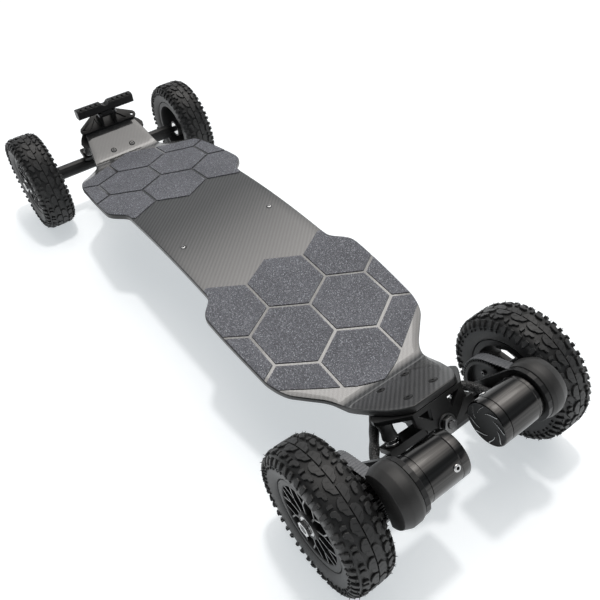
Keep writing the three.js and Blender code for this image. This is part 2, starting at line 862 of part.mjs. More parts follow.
// The end cap: a disc with leaf-shaped openings that sweep round its middle.
function motorEndCap() {
  const [inside, outside] = [motorRadius * 0.38, motorRadius * 0.86];
  const pitch = (2 * Math.PI) / leafCount;
  const at = (r, turn) => new THREE.Vector2(r * Math.cos(turn * pitch), r * Math.sin(turn * pitch));
  const swell = (inside + outside) * 0.56;
  const leaves = Array.from({ length: leafCount }, (_, k) => {
    const [root, tip] = [at(inside, k), at(outside, k + 0.5)];
    const out = new THREE.QuadraticBezierCurve(root, at(swell, k + 0.68), tip);
    const back = new THREE.QuadraticBezierCurve(tip, at(swell, k - 0.18), root);
    return [...out.getPoints(3).slice(1), ...back.getPoints(2).slice(1)].map((p) => [p.x, p.y]);
  });
  const disc = outline(circle(0, 0, motorRadius, 20), leaves);
  return solid(atMotor(prismY(disc, motorInner, motorInner + capThickness)));
}

// The mount: a plate with a lobe for the motor's face, split and clamped round the hanger's bar.
function motorMount() {
  const side = Math.PI / 2 + Math.asin((mountLobe - mountClamp) / centreReach);
  const rimLine = [
    ...arc(0, 0, mountClamp, motorAim + side, motorAim - side + 2 * Math.PI, 9),
    ...arc(motorBack, motorUp, mountLobe, motorAim - side, motorAim + side, 12),
  ];
  const holes = [circle(0, 0, barRadius + seat, 14), circle(motorBack, motorUp, 2 * shaftRadius, 12)];
  const outer = mountInner + mountThickness;
  const plate = solid(prismY(outline(rimLine, holes), mountInner, outer));
  const split = block([-mountClamp - overrun, 0], [mountInner - overrun, outer + overrun], [-run, run]);
  return cut(plate, solid(split));
}

function pulleyCover() {
  const inner = mountInner + mountThickness + seat;
  const shoulder = inner + coverTaper;
  const profile = [
    [coverNose, inner],
    [coverRadius, shoulder],
    [coverRadius, shoulder + coverFlat],
    [coverFace, coverOuter],
    [0, coverOuter],
    [0, coverOuter - coverWall],
    [coverFace - coverWall, coverOuter - coverWall],
    [coverRadius - coverWall, shoulder + coverFlat],
    [coverRadius - coverWall, shoulder],
    [coverNose - coverWall, inner],
  ];
  return cut(solid(atMotor(turned([...profile, profile[0]], 24))), solid(beltMouth()));
}

// The way that the belt takes out of the cover, towards the axle.
function beltMouth() {
  const half = coverRadius * 0.78;
  const near = -motorPitch - 2 * beltThickness;
  const tool = block([-centreReach, near], [mountInner, coverOuter + overrun], [-half, half]);
  return atMotor(tool.rotateY(-motorAim));
}

// Motor cable: from the enclosure's gland under the deck, past the truck and out to the motor

const cableExit = trayLength / 2 + glandLength + seat;
const cableBend = 2 * cableRadius;
const passSet = 65; // where it reaches the truck, ahead of the axle
// Under the deck: shares of the way to the truck, then distances out and below the deck's top.
const cableRunShares = [0.31, 0.54, 0.75, 0.885, 1];
const cableRun = [
  [51, 18],
  [50, 17.5],
  [46, 18],
  [42, 19],
  [41, 26],
];
// Past the truck: ahead of the axle, out from the motor's fitting, above the axle.
const cablePass = [
  [53, -37, 21.5],
  [43, -29, 19],
  [30.5, -18.5, 21],
  [17.5, -7.5, 24],
  [6, 1, 24],
  [-9, 1, 29],
  [-24, 0, 40],
];

function cableRoute() {
  const [from, to] = [cableExit + cableBend, axleX - passSet];
  const run = cableRun.map(([y, drop], k) => {
    const x = from + (to - from) * cableRunShares[k];
    return [-x, y, deckHeight(x) - drop];
  });
  const pass = cablePass.map(([ahead, out, up]) => [ahead - axleX, cableY + out, tyreRadius + up]);
  return [...run, ...pass];
}

// The angle, seen from the motor's axis, at which its cable comes in.
function cableAim() {
  const [x, , z] = cableRoute().at(-1);
  return Math.atan2(z - tyreRadius - motorUp, -x - axleX - motorBack);
}

function motorCable() {
  const aim = cableAim();
  const tip = (reach) =>
    new THREE.Vector3(
      -axleX - motorBack - reach * Math.cos(aim),
      cableY,
      tyreRadius + motorUp + reach * Math.sin(aim),
    );
  const gland = motorRadius + glandRise + seat;
  const points = [
    new THREE.Vector3(-cableExit, glandY, glandZ),
    new THREE.Vector3(-cableExit - cableBend, glandY, glandZ),
    ...cableRoute().map((p) => new THREE.Vector3(...p)),
    tip(gland),
  ];
  const extrudePath = new THREE.CatmullRomCurve3(points, false, "centripetal");
  const section = outline(circle(0, 0, cableRadius, 7));
  return solid(new THREE.ExtrudeGeometry(section, { steps: 20, bevelEnabled: false, extrudePath }));
}

// Nose, in the front truck's frame

const bracketBottom = deckThickness + seat;
const bracketTop = bracketBottom + bracketThickness;
const pivotZ = bracketTop + pivotRise;

function noseBracket() {
  const ear = (side) => {
    const [from, to] = side > 0 ? [Math.PI / 4, Math.PI] : [-Math.PI, -Math.PI / 4];
    return arc(-deckBoltSet, side * bracketEarSpread, bracketEarRadius, from, to, 4);
  };
  const plan = [[0, -bracketFrontHalf], [0, bracketFrontHalf], ...ear(1), ...ear(-1)];
  const holes = [-1, 1].map((side) => circle(-deckBoltSet, side * bracketEarSpread, bracketHoleRadius, 8));
  const plate = solid(prism(outline(plan, holes), bracketBottom, bracketTop));
  const floor = bracketTop - bracketThickness / 2;
  const pockets = [-1, 1].map((side) =>
    prism(
      outline([
        [-deckBoltSet * 1.1, side * (cheekSpread + cheekThickness)],
        [-deckBoltSet * 0.25, side * (cheekSpread + cheekThickness)],
        [-deckBoltSet * 1.1, side * (bracketEarSpread - 1.6 * bracketEarRadius)],
      ]),
      floor,
      bracketTop + overrun,
    ),
  );
  const cheek = outline([
    [-deckBoltSet - bracketEarRadius, floor],
    [-overrun, floor],
    ...arc(-pivotSet, pivotZ, cheekRadius, 0, Math.PI, 5),
  ]);
  const cheeks = [-1, 1].map((side) => {
    const middle = side * (cheekSpread - cheekThickness / 2);
    return solid(prismY(cheek, middle - cheekThickness / 2, middle + cheekThickness / 2));
  });
  const bore = solid(place(rod(tiltRadius + seat, 3 * cheekSpread, 10), -pivotSet, 0, pivotZ));
  return cut(join(plate, ...cheeks), solid(mergeGeometries(pockets)), bore);
}

// The bar's section: a bevelled square round the middle of the bar, which stands over the tilt axis.
function lampSection() {
  const [x, z, bevel] = [lampDepth / 2, lampHeight / 2, lampBevel];
  const quarter = [[x, z - bevel], [x - bevel, z]];
  const turn = ([x0, z0], sx, sz) => [sx * x0, lampArm + sz * z0];
  return outline([
    ...quarter.map((p) => turn(p, 1, 1)),
    ...quarter.toReversed().map((p) => turn(p, -1, 1)),
    ...quarter.map((p) => turn(p, -1, -1)),
    ...quarter.toReversed().map((p) => turn(p, 1, -1)),
  ]);
}

// The lens slot in the front of the bar, or the lens that fills it when `gap` is its clearance.
function lensBlock(gap) {
  const half = lampLength / 2 - lensInset - gap;
  const [low, high] = [lampArm - lampHeight / 2 + lensInset + gap, lampArm - gap];
  const front = lampDepth / 2;
  return block([front - slotDepth + gap, gap ? front : front + overrun], [-half, half], [low, high]);
}

function lampBar() {
  const half = lampLength / 2;
  const top = lampArm + lampHeight / 2;
  const body = solid(prismY(lampSection(), -half, half));
  const notch = solid(place(rod(notchRadius, 2 * lampDepth, 12, "x"), 0, 0, top + notchRadius / 4));
  const pitch = (half - 2 * notchRadius) / slotCount;
  const up = [top - slotDepth, top + overrun];
  const slots = [];
  for (let i = 0; i < slotCount; i++) {
    for (const side of [-1, 1]) {
      const y = side * (1.5 * notchRadius + (i + 0.5) * pitch);
      slots.push(block([-lampDepth, 0], [y - slotWidth / 2, y + slotWidth / 2], up));
    }
  }
  const lugHalf = cheekSpread - cheekThickness - seat;
  const lug = outline([
    ...arc(0, 0, cheekRadius, Math.PI, 2 * Math.PI, 5),
    [cheekRadius, lampArm - lampHeight / 2 + overrun],
    [-cheekRadius, lampArm - lampHeight / 2 + overrun],
  ]);
  const tongue = solid(prismY(lug, -lugHalf, lugHalf));
  const bore = solid(rod(tiltRadius + seat, 3 * cheekSpread, 10));
  return cut(join(cut(body, notch, solid(lensBlock(0)), solid(mergeGeometries(slots))), tongue), bore);
}

function tiltBolt() {
  const [grip, end] = [cheekSpread + seat, cheekSpread + seat + tiltRadius];
  const profile = [
    [0, -end],
    [2 * tiltRadius, -end],
    [2 * tiltRadius, -grip],
    [tiltRadius, -grip],
    [tiltRadius, grip],
    [2 * tiltRadius, grip],
    [2 * tiltRadius, end],
    [0, end],
  ];
  return solid(turned(profile, 10));
}

// Finishes: colour, roughness, metalness

const finishes = {
  carbon: [0x2b2c2e, 0.35, 0.1],
  shell: [0x1b1c1e, 0.6, 0],
  cells: [0x27527a, 0.5, 0],
  board: [0x8d9094, 0.45, 0.9],
  blackAlloy: [0x1d1e20, 0.42, 0.8],
  greyAlloy: [0x4a4b4d, 0.5, 0.8],
  steel: [0xb9bcc0, 0.3, 1],
  rubber: [0x1c1c1d, 0.9, 0],
  damper: [0x2a2b2d, 0.7, 0],
  motor: [0x232427, 0.32, 0.85],
  sleeve: [0x232323, 0.8, 0],
  belt: [0x17181a, 0.75, 0],
  lens: [0xdfe6ea, 0.1, 0],
};

function part(name, geometry, finish) {
  const [color, roughness, metalness] = finishes[finish];
  const mesh = new THREE.Mesh(geometry, new THREE.MeshStandardMaterial({ color, roughness, metalness }));
  mesh.name = name;
  return mesh;
}

// Assembly

const mountainboard = new THREE.Group();
mountainboard.add(
  part("deck_board", geometryOf(deckBoard()), "carbon"),
  part("enclosure_tray", geometryOf(enclosureTray()), "shell"),
  part("battery_pack", geometryOf(batteryPack()), "cells"),
  part("motor_controller", geometryOf(motorController()), "board"),
  part("power_button", geometryOf(powerButton()), "steel"),
  part("charge_port", geometryOf(chargePort()), "shell"),
);

const nutSet = hubOuter + seat;
const shared = {
  topTruck: geometryOf(topTruck()),
  kingBolt: geometryOf(kingBolt()),
  kingNut: geometryOf(kingNut()),
  damper: geometryOf(damper()),
  tyre: geometryOf(tyre()),
  rim: geometryOf(rim()),
  bearing: geometryOf(bearing()),
  axleNut: geometryOf(axleNut()),
  axle: rod(axleRadius, track + 2 * (nutSet + axleNutThickness), 12),
  cable: geometryOf(motorCable()),
};

// A frame at the deck's end that leans with the kick.
function endFrame() {
  const frame = new THREE.Group();
  frame.position.set(endX, 0, endZ);
  frame.rotation.y = -kickAngle;
  return frame;
}

function truck(end, barHalf, sides) {
  const frame = endFrame();
  frame.add(
    part(`${end}_top_truck`, shared.topTruck, "blackAlloy"),
    part(`${end}_king_bolt`, shared.kingBolt, "steel"),
    part(`${end}_king_nut`, shared.kingNut, "steel"),
    part(`${end}_hanger`, geometryOf(hanger(barHalf)), "blackAlloy"),
  );
  const axle = part(`${end}_axle`, shared.axle, "steel");
  axle.position.set(-axleSet, 0, barZ);
  frame.add(axle);
  for (const [side, sign] of sides) {
    const piece = part(`${end}_damper_${side}`, shared.damper, "damper");
    piece.position.y = sign * damperSpread;
    frame.add(piece);
  }
  return frame;
}

function wheel(end, side, sign) {
  const name = `${end}_${side}`;
  const hub = new THREE.Group();
  hub.position.y = track / 2;
  hub.add(part(`${name}_tyre`, shared.tyre, "rubber"), part(`${name}_rim`, shared.rim, "blackAlloy"));
  const rings = [
    [`${name}_bearing_inner`, shared.bearing, bearingWidth / 2 - hubInner],
    [`${name}_bearing_outer`, shared.bearing, hubOuter - bearingWidth / 2],
    [`${name}_axle_nut`, shared.axleNut, nutSet],
  ];
  for (const [label, geometry, y] of rings) {
    const piece = part(label, geometry, "steel");
    piece.position.y = y;
    hub.add(piece);
  }
  const group = new THREE.Group();
  group.scale.y = sign;
  group.add(hub);
  return group;
}

const drivePieces = {
  wheel_pulley: [geometryOf(wheelPulley()), "blackAlloy"],
  motor_pulley: [geometryOf(motorPulley()), "steel"],
  belt: [geometryOf(belt()), "belt"],
  motor_can: [geometryOf(motorCan()), "motor"],
  motor_end_cap: [geometryOf(motorEndCap()), "motor"],
  motor_mount: [geometryOf(motorMount()), "blackAlloy"],
  pulley_cover: [geometryOf(pulleyCover()), "greyAlloy"],
};

function drive(side, sign) {
  const group = new THREE.Group();
  group.scale.y = sign;
  for (const [name, [geometry, finish]] of Object.entries(drivePieces)) {
    group.add(part(`${side}_${name}`, geometry, finish));
  }
  return group;
}

// Each end is built facing +X; the rear one is turned round, which swaps its left and right.
function endGroup(end, facing, barHalf) {
  const sides = [
    ["left", facing],
    ["right", -facing],
  ];
  const group = new THREE.Group();
  group.rotation.z = facing > 0 ? 0 : Math.PI;
  group.add(truck(end, barHalf, sides));
  const axle = new THREE.Group();
  axle.position.set(axleX, 0, tyreRadius);
  for (const [side, sign] of sides) {
    axle.add(wheel(end, side, sign));
    if (end === "rear") axle.add(drive(side, sign));
  }
  group.add(axle);
  return group;
}
mountainboard.add(endGroup("front", 1, frontBarHalf), endGroup("rear", -1, rearBarHalf));

for (const [side, sign] of [["left", 1], ["right", -1]]) {
  const piece = part(`${side}_motor_cable`, shared.cable, "sleeve");
  piece.scale.y = sign;
  mountainboard.add(piece);
}

// The lamp stands upright on the leaning bracket.
const nose = endFrame();
const lamp = new THREE.Group();
lamp.position.set(-pivotSet, 0, pivotZ);
lamp.rotation.y = kickAngle;
lamp.add(
  part("lamp_bar", geometryOf(lampBar()), "blackAlloy"),
  part("lamp_lens", lensBlock(seat), "lens"),
  part("lamp_tilt_bolt", geometryOf(tiltBolt()), "steel"),
);
nose.add(part("nose_bracket", geometryOf(noseBracket()), "blackAlloy"), lamp);
mountainboard.add(nose);

export default mountainboard;
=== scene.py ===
import math

import bmesh
import bpy
import numpy as np
from mathutils import Matrix, Vector


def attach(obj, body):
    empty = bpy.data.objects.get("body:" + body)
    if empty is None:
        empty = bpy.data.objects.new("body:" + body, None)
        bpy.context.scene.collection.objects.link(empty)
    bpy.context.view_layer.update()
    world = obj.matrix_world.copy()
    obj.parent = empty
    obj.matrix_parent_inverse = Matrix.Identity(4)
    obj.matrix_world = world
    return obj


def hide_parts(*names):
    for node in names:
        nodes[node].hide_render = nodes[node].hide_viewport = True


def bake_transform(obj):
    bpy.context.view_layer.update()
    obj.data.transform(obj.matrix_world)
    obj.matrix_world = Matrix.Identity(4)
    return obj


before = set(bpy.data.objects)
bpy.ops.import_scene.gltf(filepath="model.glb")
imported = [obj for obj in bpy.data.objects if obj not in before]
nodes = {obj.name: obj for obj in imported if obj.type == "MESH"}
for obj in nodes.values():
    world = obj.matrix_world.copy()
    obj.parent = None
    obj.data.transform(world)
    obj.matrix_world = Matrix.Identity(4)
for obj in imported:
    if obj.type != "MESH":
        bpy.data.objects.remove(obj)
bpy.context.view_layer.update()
MM = 0.001

# Sizes in millimetres, as in the CAD
AXLE_X, TRACK, TYRE_R, CROWN = 497.0, 344.0, 100.0, 172.0
KICK = math.radians(33.8)
KX, KZ = math.cos(KICK), math.sin(KICK)
DECK_T = 9.0
END_X = AXLE_X + 52 * KX - 67 * KZ
END_Z = TYRE_R + 52 * KZ + 67 * KX
DECK_X, DECK_Z = END_X - DECK_T * KZ, END_Z + DECK_T * KX
MOTOR_BACK, MOTOR_UP, MOTOR_R = 61.0, 63.0, 31.2
TRAY_HALF, TRAY_CORNER, TRAY_BOTTOM, TRAY_LENGTH, TRAY_DEPTH = 84.0, 30.0, 109.0, 440.0, 54.0

# Camera

eye = Vector((-839.4, 378.8, 814.5)) * MM
aim = Vector((-195.55, -38.39, 100)) * MM
roll = -0.102
fwd = (aim - eye).normalized()
right = fwd.cross(Vector((0, 0, 1))).normalized()
up = right.cross(fwd)
x_axis = math.cos(roll) * right + math.sin(roll) * up
y_axis = -math.sin(roll) * right + math.cos(roll) * up
cam_data = bpy.data.cameras.new("camera")
# The fitted lens, in pixels of the photograph: focal length and optical centre
PHOTO, FOCAL, CENTRE_X, CENTRE_Y, SENSOR = 600, 653.175, 314.37, 303.62, 36
cam_data.sensor_width = SENSOR
cam_data.lens = FOCAL / PHOTO * SENSOR
cam_data.shift_x = -(CENTRE_X - PHOTO / 2) / PHOTO
cam_data.shift_y = (CENTRE_Y - PHOTO / 2) / PHOTO
cam_data.clip_end = 50
camera = bpy.data.objects.new("camera", cam_data)
camera.matrix_world = Matrix.Translation(eye) @ Matrix((x_axis, y_axis, -fwd)).transposed().to_4x4()
bpy.context.scene.collection.objects.link(camera)
bpy.context.scene.camera = camera


# Materials


class Nodes:
    """Short ways to add nodes to a node tree."""

    def __init__(self, tree):
        self.tree = tree

    def node(self, kind, **props):
        node = self.tree.nodes.new("ShaderNode" + kind)
        for key, value in props.items():
            setattr(node, key, value)
        return node

    def link(self, source, target):
        self.tree.links.new(source, target)

    def math(self, operation, a, b=0.0, c=0.0):
        node = self.node("Math", operation=operation)
        for socket, value in zip(node.inputs, (a, b, c)):
            if isinstance(value, (int, float)):
                socket.default_value = value
            else:
                self.link(value, socket)
        return node.outputs[0]

    def coords(self, scale=1.0, turn=(0, 0, 0), stretch=(1, 1, 1)):
        source = self.node("TexCoord").outputs["Object"]
        mapping = self.node("Mapping")
        mapping.inputs["Scale"].default_value = [scale * s for s in stretch]
        mapping.inputs["Rotation"].default_value = turn
        self.link(source, mapping.inputs["Vector"])
        return mapping.outputs[0]

    def noise(self, scale, detail=3.0, vector=None, rough=0.5):
        node = self.node("TexNoise")
        node.inputs["Scale"].default_value = scale
        node.inputs["Detail"].default_value = detail
        node.inputs["Roughness"].default_value = rough
        self.link(vector or self.coords(), node.inputs["Vector"])
        return node.outputs["Fac"]

    def ramp(self, fac, *stops):
        node = self.node("ValToRGB")
        node.color_ramp.interpolation = "LINEAR"
        while len(node.color_ramp.elements) < len(stops):
            node.color_ramp.elements.new(0.5)
        for element, (place, color) in zip(node.color_ramp.elements, stops):
            element.position = place
            element.color = (*color, 1)
        self.link(fac, node.inputs["Fac"])
        return node.outputs["Color"]

    def seen(self):
        """1 for what the camera, a glossy surface or glass shows, 0 for light on the object."""
        path = self.node("LightPath").outputs
        shown = self.math("MAXIMUM", path["Is Camera Ray"], path["Is Glossy Ray"])
        return self.math("MAXIMUM", shown, path["Is Transmission Ray"])

    def span(self, fac, low, high, from_low=0.0, from_high=1.0):
        node = self.node("MapRange")
        node.inputs["From Min"].default_value = from_low
        node.inputs["From Max"].default_value = from_high
        node.inputs["To Min"].default_value = low
        node.inputs["To Max"].default_value = high
        self.link(fac, node.inputs["Value"])
        return node.outputs["Result"]


class Look(Nodes):
    """A Principled material."""

    def __init__(self, name, color, rough, metal=0.0, **sockets):
        self.mat = bpy.data.materials.new(name)
        self.mat.use_nodes = True
        self.mat.diffuse_color = (*color, 1)
        super().__init__(self.mat.node_tree)
        self.bsdf = self.tree.nodes["Principled BSDF"]
        self.put("Base Color", (*color, 1))
        self.put("Roughness", rough)
        self.put("Metallic", metal)
        for key, value in sockets.items():
            self.put(key.replace("_", " "), value)

    def put(self, socket, value):
        self.bsdf.inputs[socket].default_value = value

    def color(self, output):
        self.link(output, self.bsdf.inputs["Base Color"])

    def roughness(self, output):
        self.link(output, self.bsdf.inputs["Roughness"])

    def bump(self, height, strength=0.3, distance=0.0005, coat=False):
        node = self.node("Bump")
        node.inputs["Strength"].default_value = strength
        node.inputs["Distance"].default_value = distance
        self.link(height, node.inputs["Height"])
        self.link(node.outputs["Normal"], self.bsdf.inputs["Normal"])
        if coat:
            self.link(node.outputs["Normal"], self.bsdf.inputs["Coat Normal"])


def grey(v, warm=0.0):
    return (v * (1 + warm), v, v * (1 - warm))


def carbon_look():
    look = Look("carbon_twill", grey(0.04), 0.4, 0.0, Coat_Weight=1.0, Coat_Roughness=0.04, Coat_IOR=1.9)
    tow, middle = 2.07 * MM, 0.45
    split = look.node("SeparateXYZ")
    look.link(look.coords(1 / tow), split.inputs[0])
    u, v = split.outputs[0], split.outputs[1]
    cells = look.math("ADD", look.math("FLOOR", u), look.math("FLOOR", v))
    over = look.math("LESS_THAN", look.math("FLOORED_MODULO", cells, 4.0), 2.0)
    fu, fv = look.math("FRACT", u), look.math("FRACT", v)
    across = look.node("Mix")
    look.link(over, across.inputs["Factor"])
    look.link(fu, across.inputs[2])
    look.link(fv, across.inputs[3])
    crown = look.math("SINE", look.math("MULTIPLY", across.outputs[0], math.pi))
    fibre = look.noise(900, 1.0, look.coords())
    place = look.node("SeparateXYZ")
    look.link(look.coords(), place.inputs[0])
    # The weave fades on the front kick, and the clear coat on the tail
    weave = look.span(place.outputs[0], 1.0, 0.2, 0.40, 0.43)
    shade = look.math("ADD", look.math("MULTIPLY", over, 0.5), look.math("MULTIPLY", crown, 0.18))
    shade = look.math("ADD", shade, look.math("MULTIPLY", fibre, 0.18))
    shade = look.math("MULTIPLY_ADD", look.math("SUBTRACT", shade, middle), weave, middle)
    look.color(look.ramp(shade, (0.12, grey(0.011)), (0.5, grey(0.028)), (0.95, grey(0.072))))
    look.bump(look.math("MULTIPLY", crown, weave), 0.25, 0.00012)
    look.link(look.span(place.outputs[0], 0.15, 1.0, -0.46, -0.42), look.bsdf.inputs["Coat Weight"])
    return look.mat


def grip_look():
    look = Look("grip_sheet", (0.08, 0.083, 0.092), 0.55)
    grain = look.noise(780, 4.0, rough=0.9)
    cells = look.node("TexVoronoi")
    cells.inputs["Scale"].default_value = 1000
    look.link(look.coords(), cells.inputs["Vector"])
    patch = look.noise(14, 2.0)
    tone = look.math("ADD", grain, look.math("MULTIPLY", patch, 0.08))
    base = look.ramp(tone, (0.40, (0.02, 0.021, 0.025)), (0.54, (0.07, 0.073, 0.085)), (0.66, (0.235, 0.24, 0.27)))
    split = look.node("SeparateColor")
    look.link(cells.outputs["Color"], split.inputs[0])
    glint = look.math("GREATER_THAN", split.outputs[0], 0.92)
    mix = look.node("Mix", data_type="RGBA")
    look.link(glint, mix.inputs["Factor"])
    look.link(base, mix.inputs[6])
    mix.inputs[7].default_value = (0.33, 0.34, 0.37, 1)
    look.color(mix.outputs[2])
    look.bump(look.math("ADD", grain, cells.outputs["Distance"]), 0.5, 0.0006)
    return look.mat


def rubber_look(name, base):
    look = Look(name, grey(base), 0.5)
    patch = look.noise(30, 4.0)
    fine = look.noise(500, 3.0)
    look.color(look.ramp(patch, (0.3, grey(base * 0.7)), (0.7, grey(base * 1.4))))
    look.roughness(look.span(fine, 0.38, 0.56))
    look.bump(fine, 0.25, 0.0003)
    return look.mat


def alloy_look(name, base, rough, metal=0.85, warm=0.0, grain=0.15):
    look = Look(name, grey(base, warm), rough, metal)
    fine = look.noise(700, 3.0)
    patch = look.noise(25, 3.0)
    look.color(look.ramp(patch, (0.3, grey(base * 0.85, warm)), (0.7, grey(base * 1.15, warm))))
    look.roughness(look.span(fine, rough * 0.85, rough * 1.15))
    look.bump(fine, grain, 0.00015)
    return look.mat


def turned_look(name, base, rough, warm=0.0):
    """Metal brushed lengthwise along Y."""
    look = Look(name, grey(base, warm), rough, 1.0)
    rings = look.noise(1.0, 4.0, look.coords(1.0, stretch=(420, 3, 420)), 0.7)
    look.color(look.ramp(rings, (0.35, grey(base * 0.75, warm)), (0.65, grey(base * 1.3, warm))))
    look.roughness(look.span(rings, rough * 0.8, rough * 1.2))
    look.bump(rings, 0.25, 0.0001)
    return look.mat


def sleeve_look():
    look = Look("braided_sleeve", grey(0.03), 0.5)
    cells = look.node("TexVoronoi")
    cells.inputs["Scale"].default_value = 850
    look.link(look.coords(), cells.inputs["Vector"])
    split = look.node("SeparateColor")
    look.link(cells.outputs["Color"], split.inputs[0])
    look.color(look.ramp(split.outputs[0], (0.45, grey(0.008)), (0.75, grey(0.03)), (0.97, grey(0.12))))
    look.bump(look.math("SUBTRACT", 1.0, cells.outputs["Distance"]), 0.8, 0.0006)
    return look.mat


def edge_look():
    """The board's cut side: dark resin with faint layers."""
    look = Look("board_edge", grey(0.012), 0.4, 0.0, Coat_Weight=0.3, Coat_Roughness=0.2)
    layers = look.noise(1.0, 2.0, look.coords(1.0, stretch=(30, 30, 1400)))
    look.color(look.ramp(layers, (0.3, grey(0.006)), (0.7, grey(0.022))))
    look.bump(layers, 0.2, 0.0002)
    return look.mat


def plain_look(name, color, rough, metal=0.0, scale=400, grain=0.2, **sockets):
    look = Look(name, color, rough, metal, **sockets)
    fine = look.noise(scale, 3.0)
    dark, light = (tuple(min(1, c * share) for c in color) for share in (0.85, 1.15))
    look.color(look.ramp(fine, (0.3, dark), (0.7, light)))
    look.bump(fine, grain, 0.0002)
    return look.mat


CARBON = carbon_look()
EDGE = edge_look()
GRIP = grip_look()
RUBBER = rubber_look("tread_rubber", 0.022)
# A darker copy of the tread rubber for the carcass between the blocks and the cuts: painted shade in the grooves
GROOVE_SHADE = rubber_look("tread_groove", 0.006)
BLACK = alloy_look("black_anodised", 0.03, 0.36, 0.7)
RIM = alloy_look("rim_black", 0.025, 0.42, 0.5)
SPOKE = alloy_look("spoke_edge", 0.22, 0.35, 0.9)
COVER = alloy_look("grey_anodised", 0.032, 0.42, 0.3, 0.02)
CAN = turned_look("motor_can", 0.066, 0.15, 0.02)
CAP = plain_look("motor_cap", grey(0.012), 0.45, 0.0, 700, 0.15, Specular_IOR_Level=0.25)
STEEL = alloy_look("steel", 0.62, 0.22, 1.0, 0.0, 0.05)
DARK_STEEL = alloy_look("dark_steel", 0.2, 0.32, 1.0, 0.0, 0.05)
NUT_STEEL = alloy_look("nut_steel", 0.26, 0.3, 1.0, 0.0, 0.05)
BUSH = plain_look("damper_rubber", grey(0.03), 0.55)
SLEEVE = sleeve_look()
BELT = plain_look("belt_rubber", (0.12, 0.123, 0.13), 0.3)
SHELL = plain_look("shell_black", grey(0.03), 0.5, 0.0, 350, 0.4)
CELLS = plain_look("cell_wrap", (0.03, 0.12, 0.3), 0.35, 0.0, 60)
BOARD = alloy_look("heat_sink", 0.3, 0.4, 0.9)
LENS = plain_look("lamp_lens", (0.8, 0.85, 0.9), 0.12, 0.0, 60, 0.05, Transmission_Weight=0.6)
# Near-black painted shade for bolt sockets and for the rings round the deck bolts
PAINTED_SHADE = plain_look("painted_shade_black", grey(0.008), 0.8)

# Geometry kit


def finish_object(name, bm, look, body, sharp=35.0, replaces=()):
    bmesh.ops.remove_doubles(bm, verts=bm.verts, dist=1e-7)
    bmesh.ops.recalc_face_normals(bm, faces=bm.faces)
    mesh = bpy.data.meshes.new(name)
    bm.to_mesh(mesh)
    bm.free()
    mesh.shade_smooth()
    mesh.set_sharp_from_angle(angle=math.radians(sharp))
    for one in look if isinstance(look, (list, tuple)) else [look]:
        mesh.materials.append(one)
    obj = bpy.data.objects.new(name, mesh)
    bpy.context.scene.collection.objects.link(obj)
    if body:
        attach(obj, body)
    if replaces:
        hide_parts(*replaces)
    return obj


def round_angles(count):
    """Evenly spaced angles round a full turn."""
    return np.arange(count) * 2 * math.pi / count


def skin(bm, rings, caps=True, looped=False, material=0):
    """Rings of points in millimetres joined by quads, closed by caps or into a loop."""
    rows = [[bm.verts.new(Vector(p) * MM) for p in ring] for ring in rings]
    count = len(rows[0])
    pairs = list(zip(rows, rows[1:])) + ([(rows[-1], rows[0])] if looped else [])
    for a, b in pairs:
        for j in range(count):
            k = (j + 1) % count
            bm.faces.new((a[j], a[k], b[k], b[j])).material_index = material
    if caps and not looped:
        bm.faces.new(rows[0][::-1]).material_index = material
        bm.faces.new(rows[-1]).material_index = material


def lathe(bm, profile, sides, place, material=0, closed=False):
    """Turns (radius, height) pairs about the local Z axis; place maps local points to millimetres in the frame."""
    rings, poles = [], []
    for r, h in profile:
        if r < 1e-6:
            poles.append(place((0, 0, h)))
            rings.append(None)
            continue
        rings.append([place((r * math.cos(a), r * math.sin(a), h)) for a in round_angles(sides)])
    verts = [[bm.verts.new(Vector(p) * MM) for p in ring] if ring else None for ring in rings]
    if closed:
        verts.append(verts[0])
    pole = iter(poles)
    tips = [bm.verts.new(Vector(next(pole)) * MM) if v is None else None for v in verts]
    for i in range(len(verts) - 1):
        a, b = verts[i], verts[i + 1]
        for j in range(sides):
            k = (j + 1) % sides
            if a is None:
                face = (tips[i], b[j], b[k])
            elif b is None:
                face = (a[k], a[j], tips[i + 1])
            else:
                face = (a[j], a[k], b[k], b[j])
            bm.faces.new(face).material_index = material


def prism(bm, outline, low, high, place, bevel=0.0, material=0, side_material=None):
    """A flat outline of (x, y) pairs pushed from low to high along local Z, its top edge bevelled."""
    centre = np.mean(outline, axis=0)

    def ring(h, inset):
        points = []
        count = len(outline)
        for i in range(count):
            p = np.array(outline[i], float)
            if inset:
                a, b = np.array(outline[i - 1], float), np.array(outline[(i + 1) % count], float)
                d0, d1 = (p - a) / (np.linalg.norm(p - a) + 1e-9), (b - p) / (np.linalg.norm(b - p) + 1e-9)
                n = np.array([-(d0[1] + d1[1]), d0[0] + d1[0]])
                n /= np.linalg.norm(n) + 1e-9
                if n @ (centre - p) < 0:
                    n = -n
                p = p + n * inset
            points.append(place((p[0], p[1], h)))
        return points

    rings = [ring(low, 0), ring(high - bevel, 0)] + ([ring(high, bevel)] if bevel else [])
    rows = [[bm.verts.new(Vector(p) * MM) for p in one] for one in rings]
    count = len(outline)
    for a, b in zip(rows, rows[1:]):
        for j in range(count):
            k = (j + 1) % count
            bm.faces.new((a[j], a[k], b[k], b[j])).material_index = (
                material if side_material is None else side_material
            )
    bm.faces.new(rows[0][::-1]).material_index = material
    bm.faces.new(rows[-1]).material_index = material


def smooth_path(points, per=8):
    """A Catmull-Rom curve through points, as an array."""
    p = np.array(points, float)
    p = np.vstack([2 * p[0] - p[1], p, 2 * p[-1] - p[-2]])
    out = []
    for i in range(1, len(p) - 2):
        for t in np.arange(per) / per:
            a, b, c, d = p[i - 1 : i + 3]
            square, cube = 2 * a - 5 * b + 4 * c - d, 3 * b - a - 3 * c + d
            out.append(0.5 * (2 * b + (c - a) * t + square * t**2 + cube * t**3))
    out.append(p[-2])
    return np.array(out)


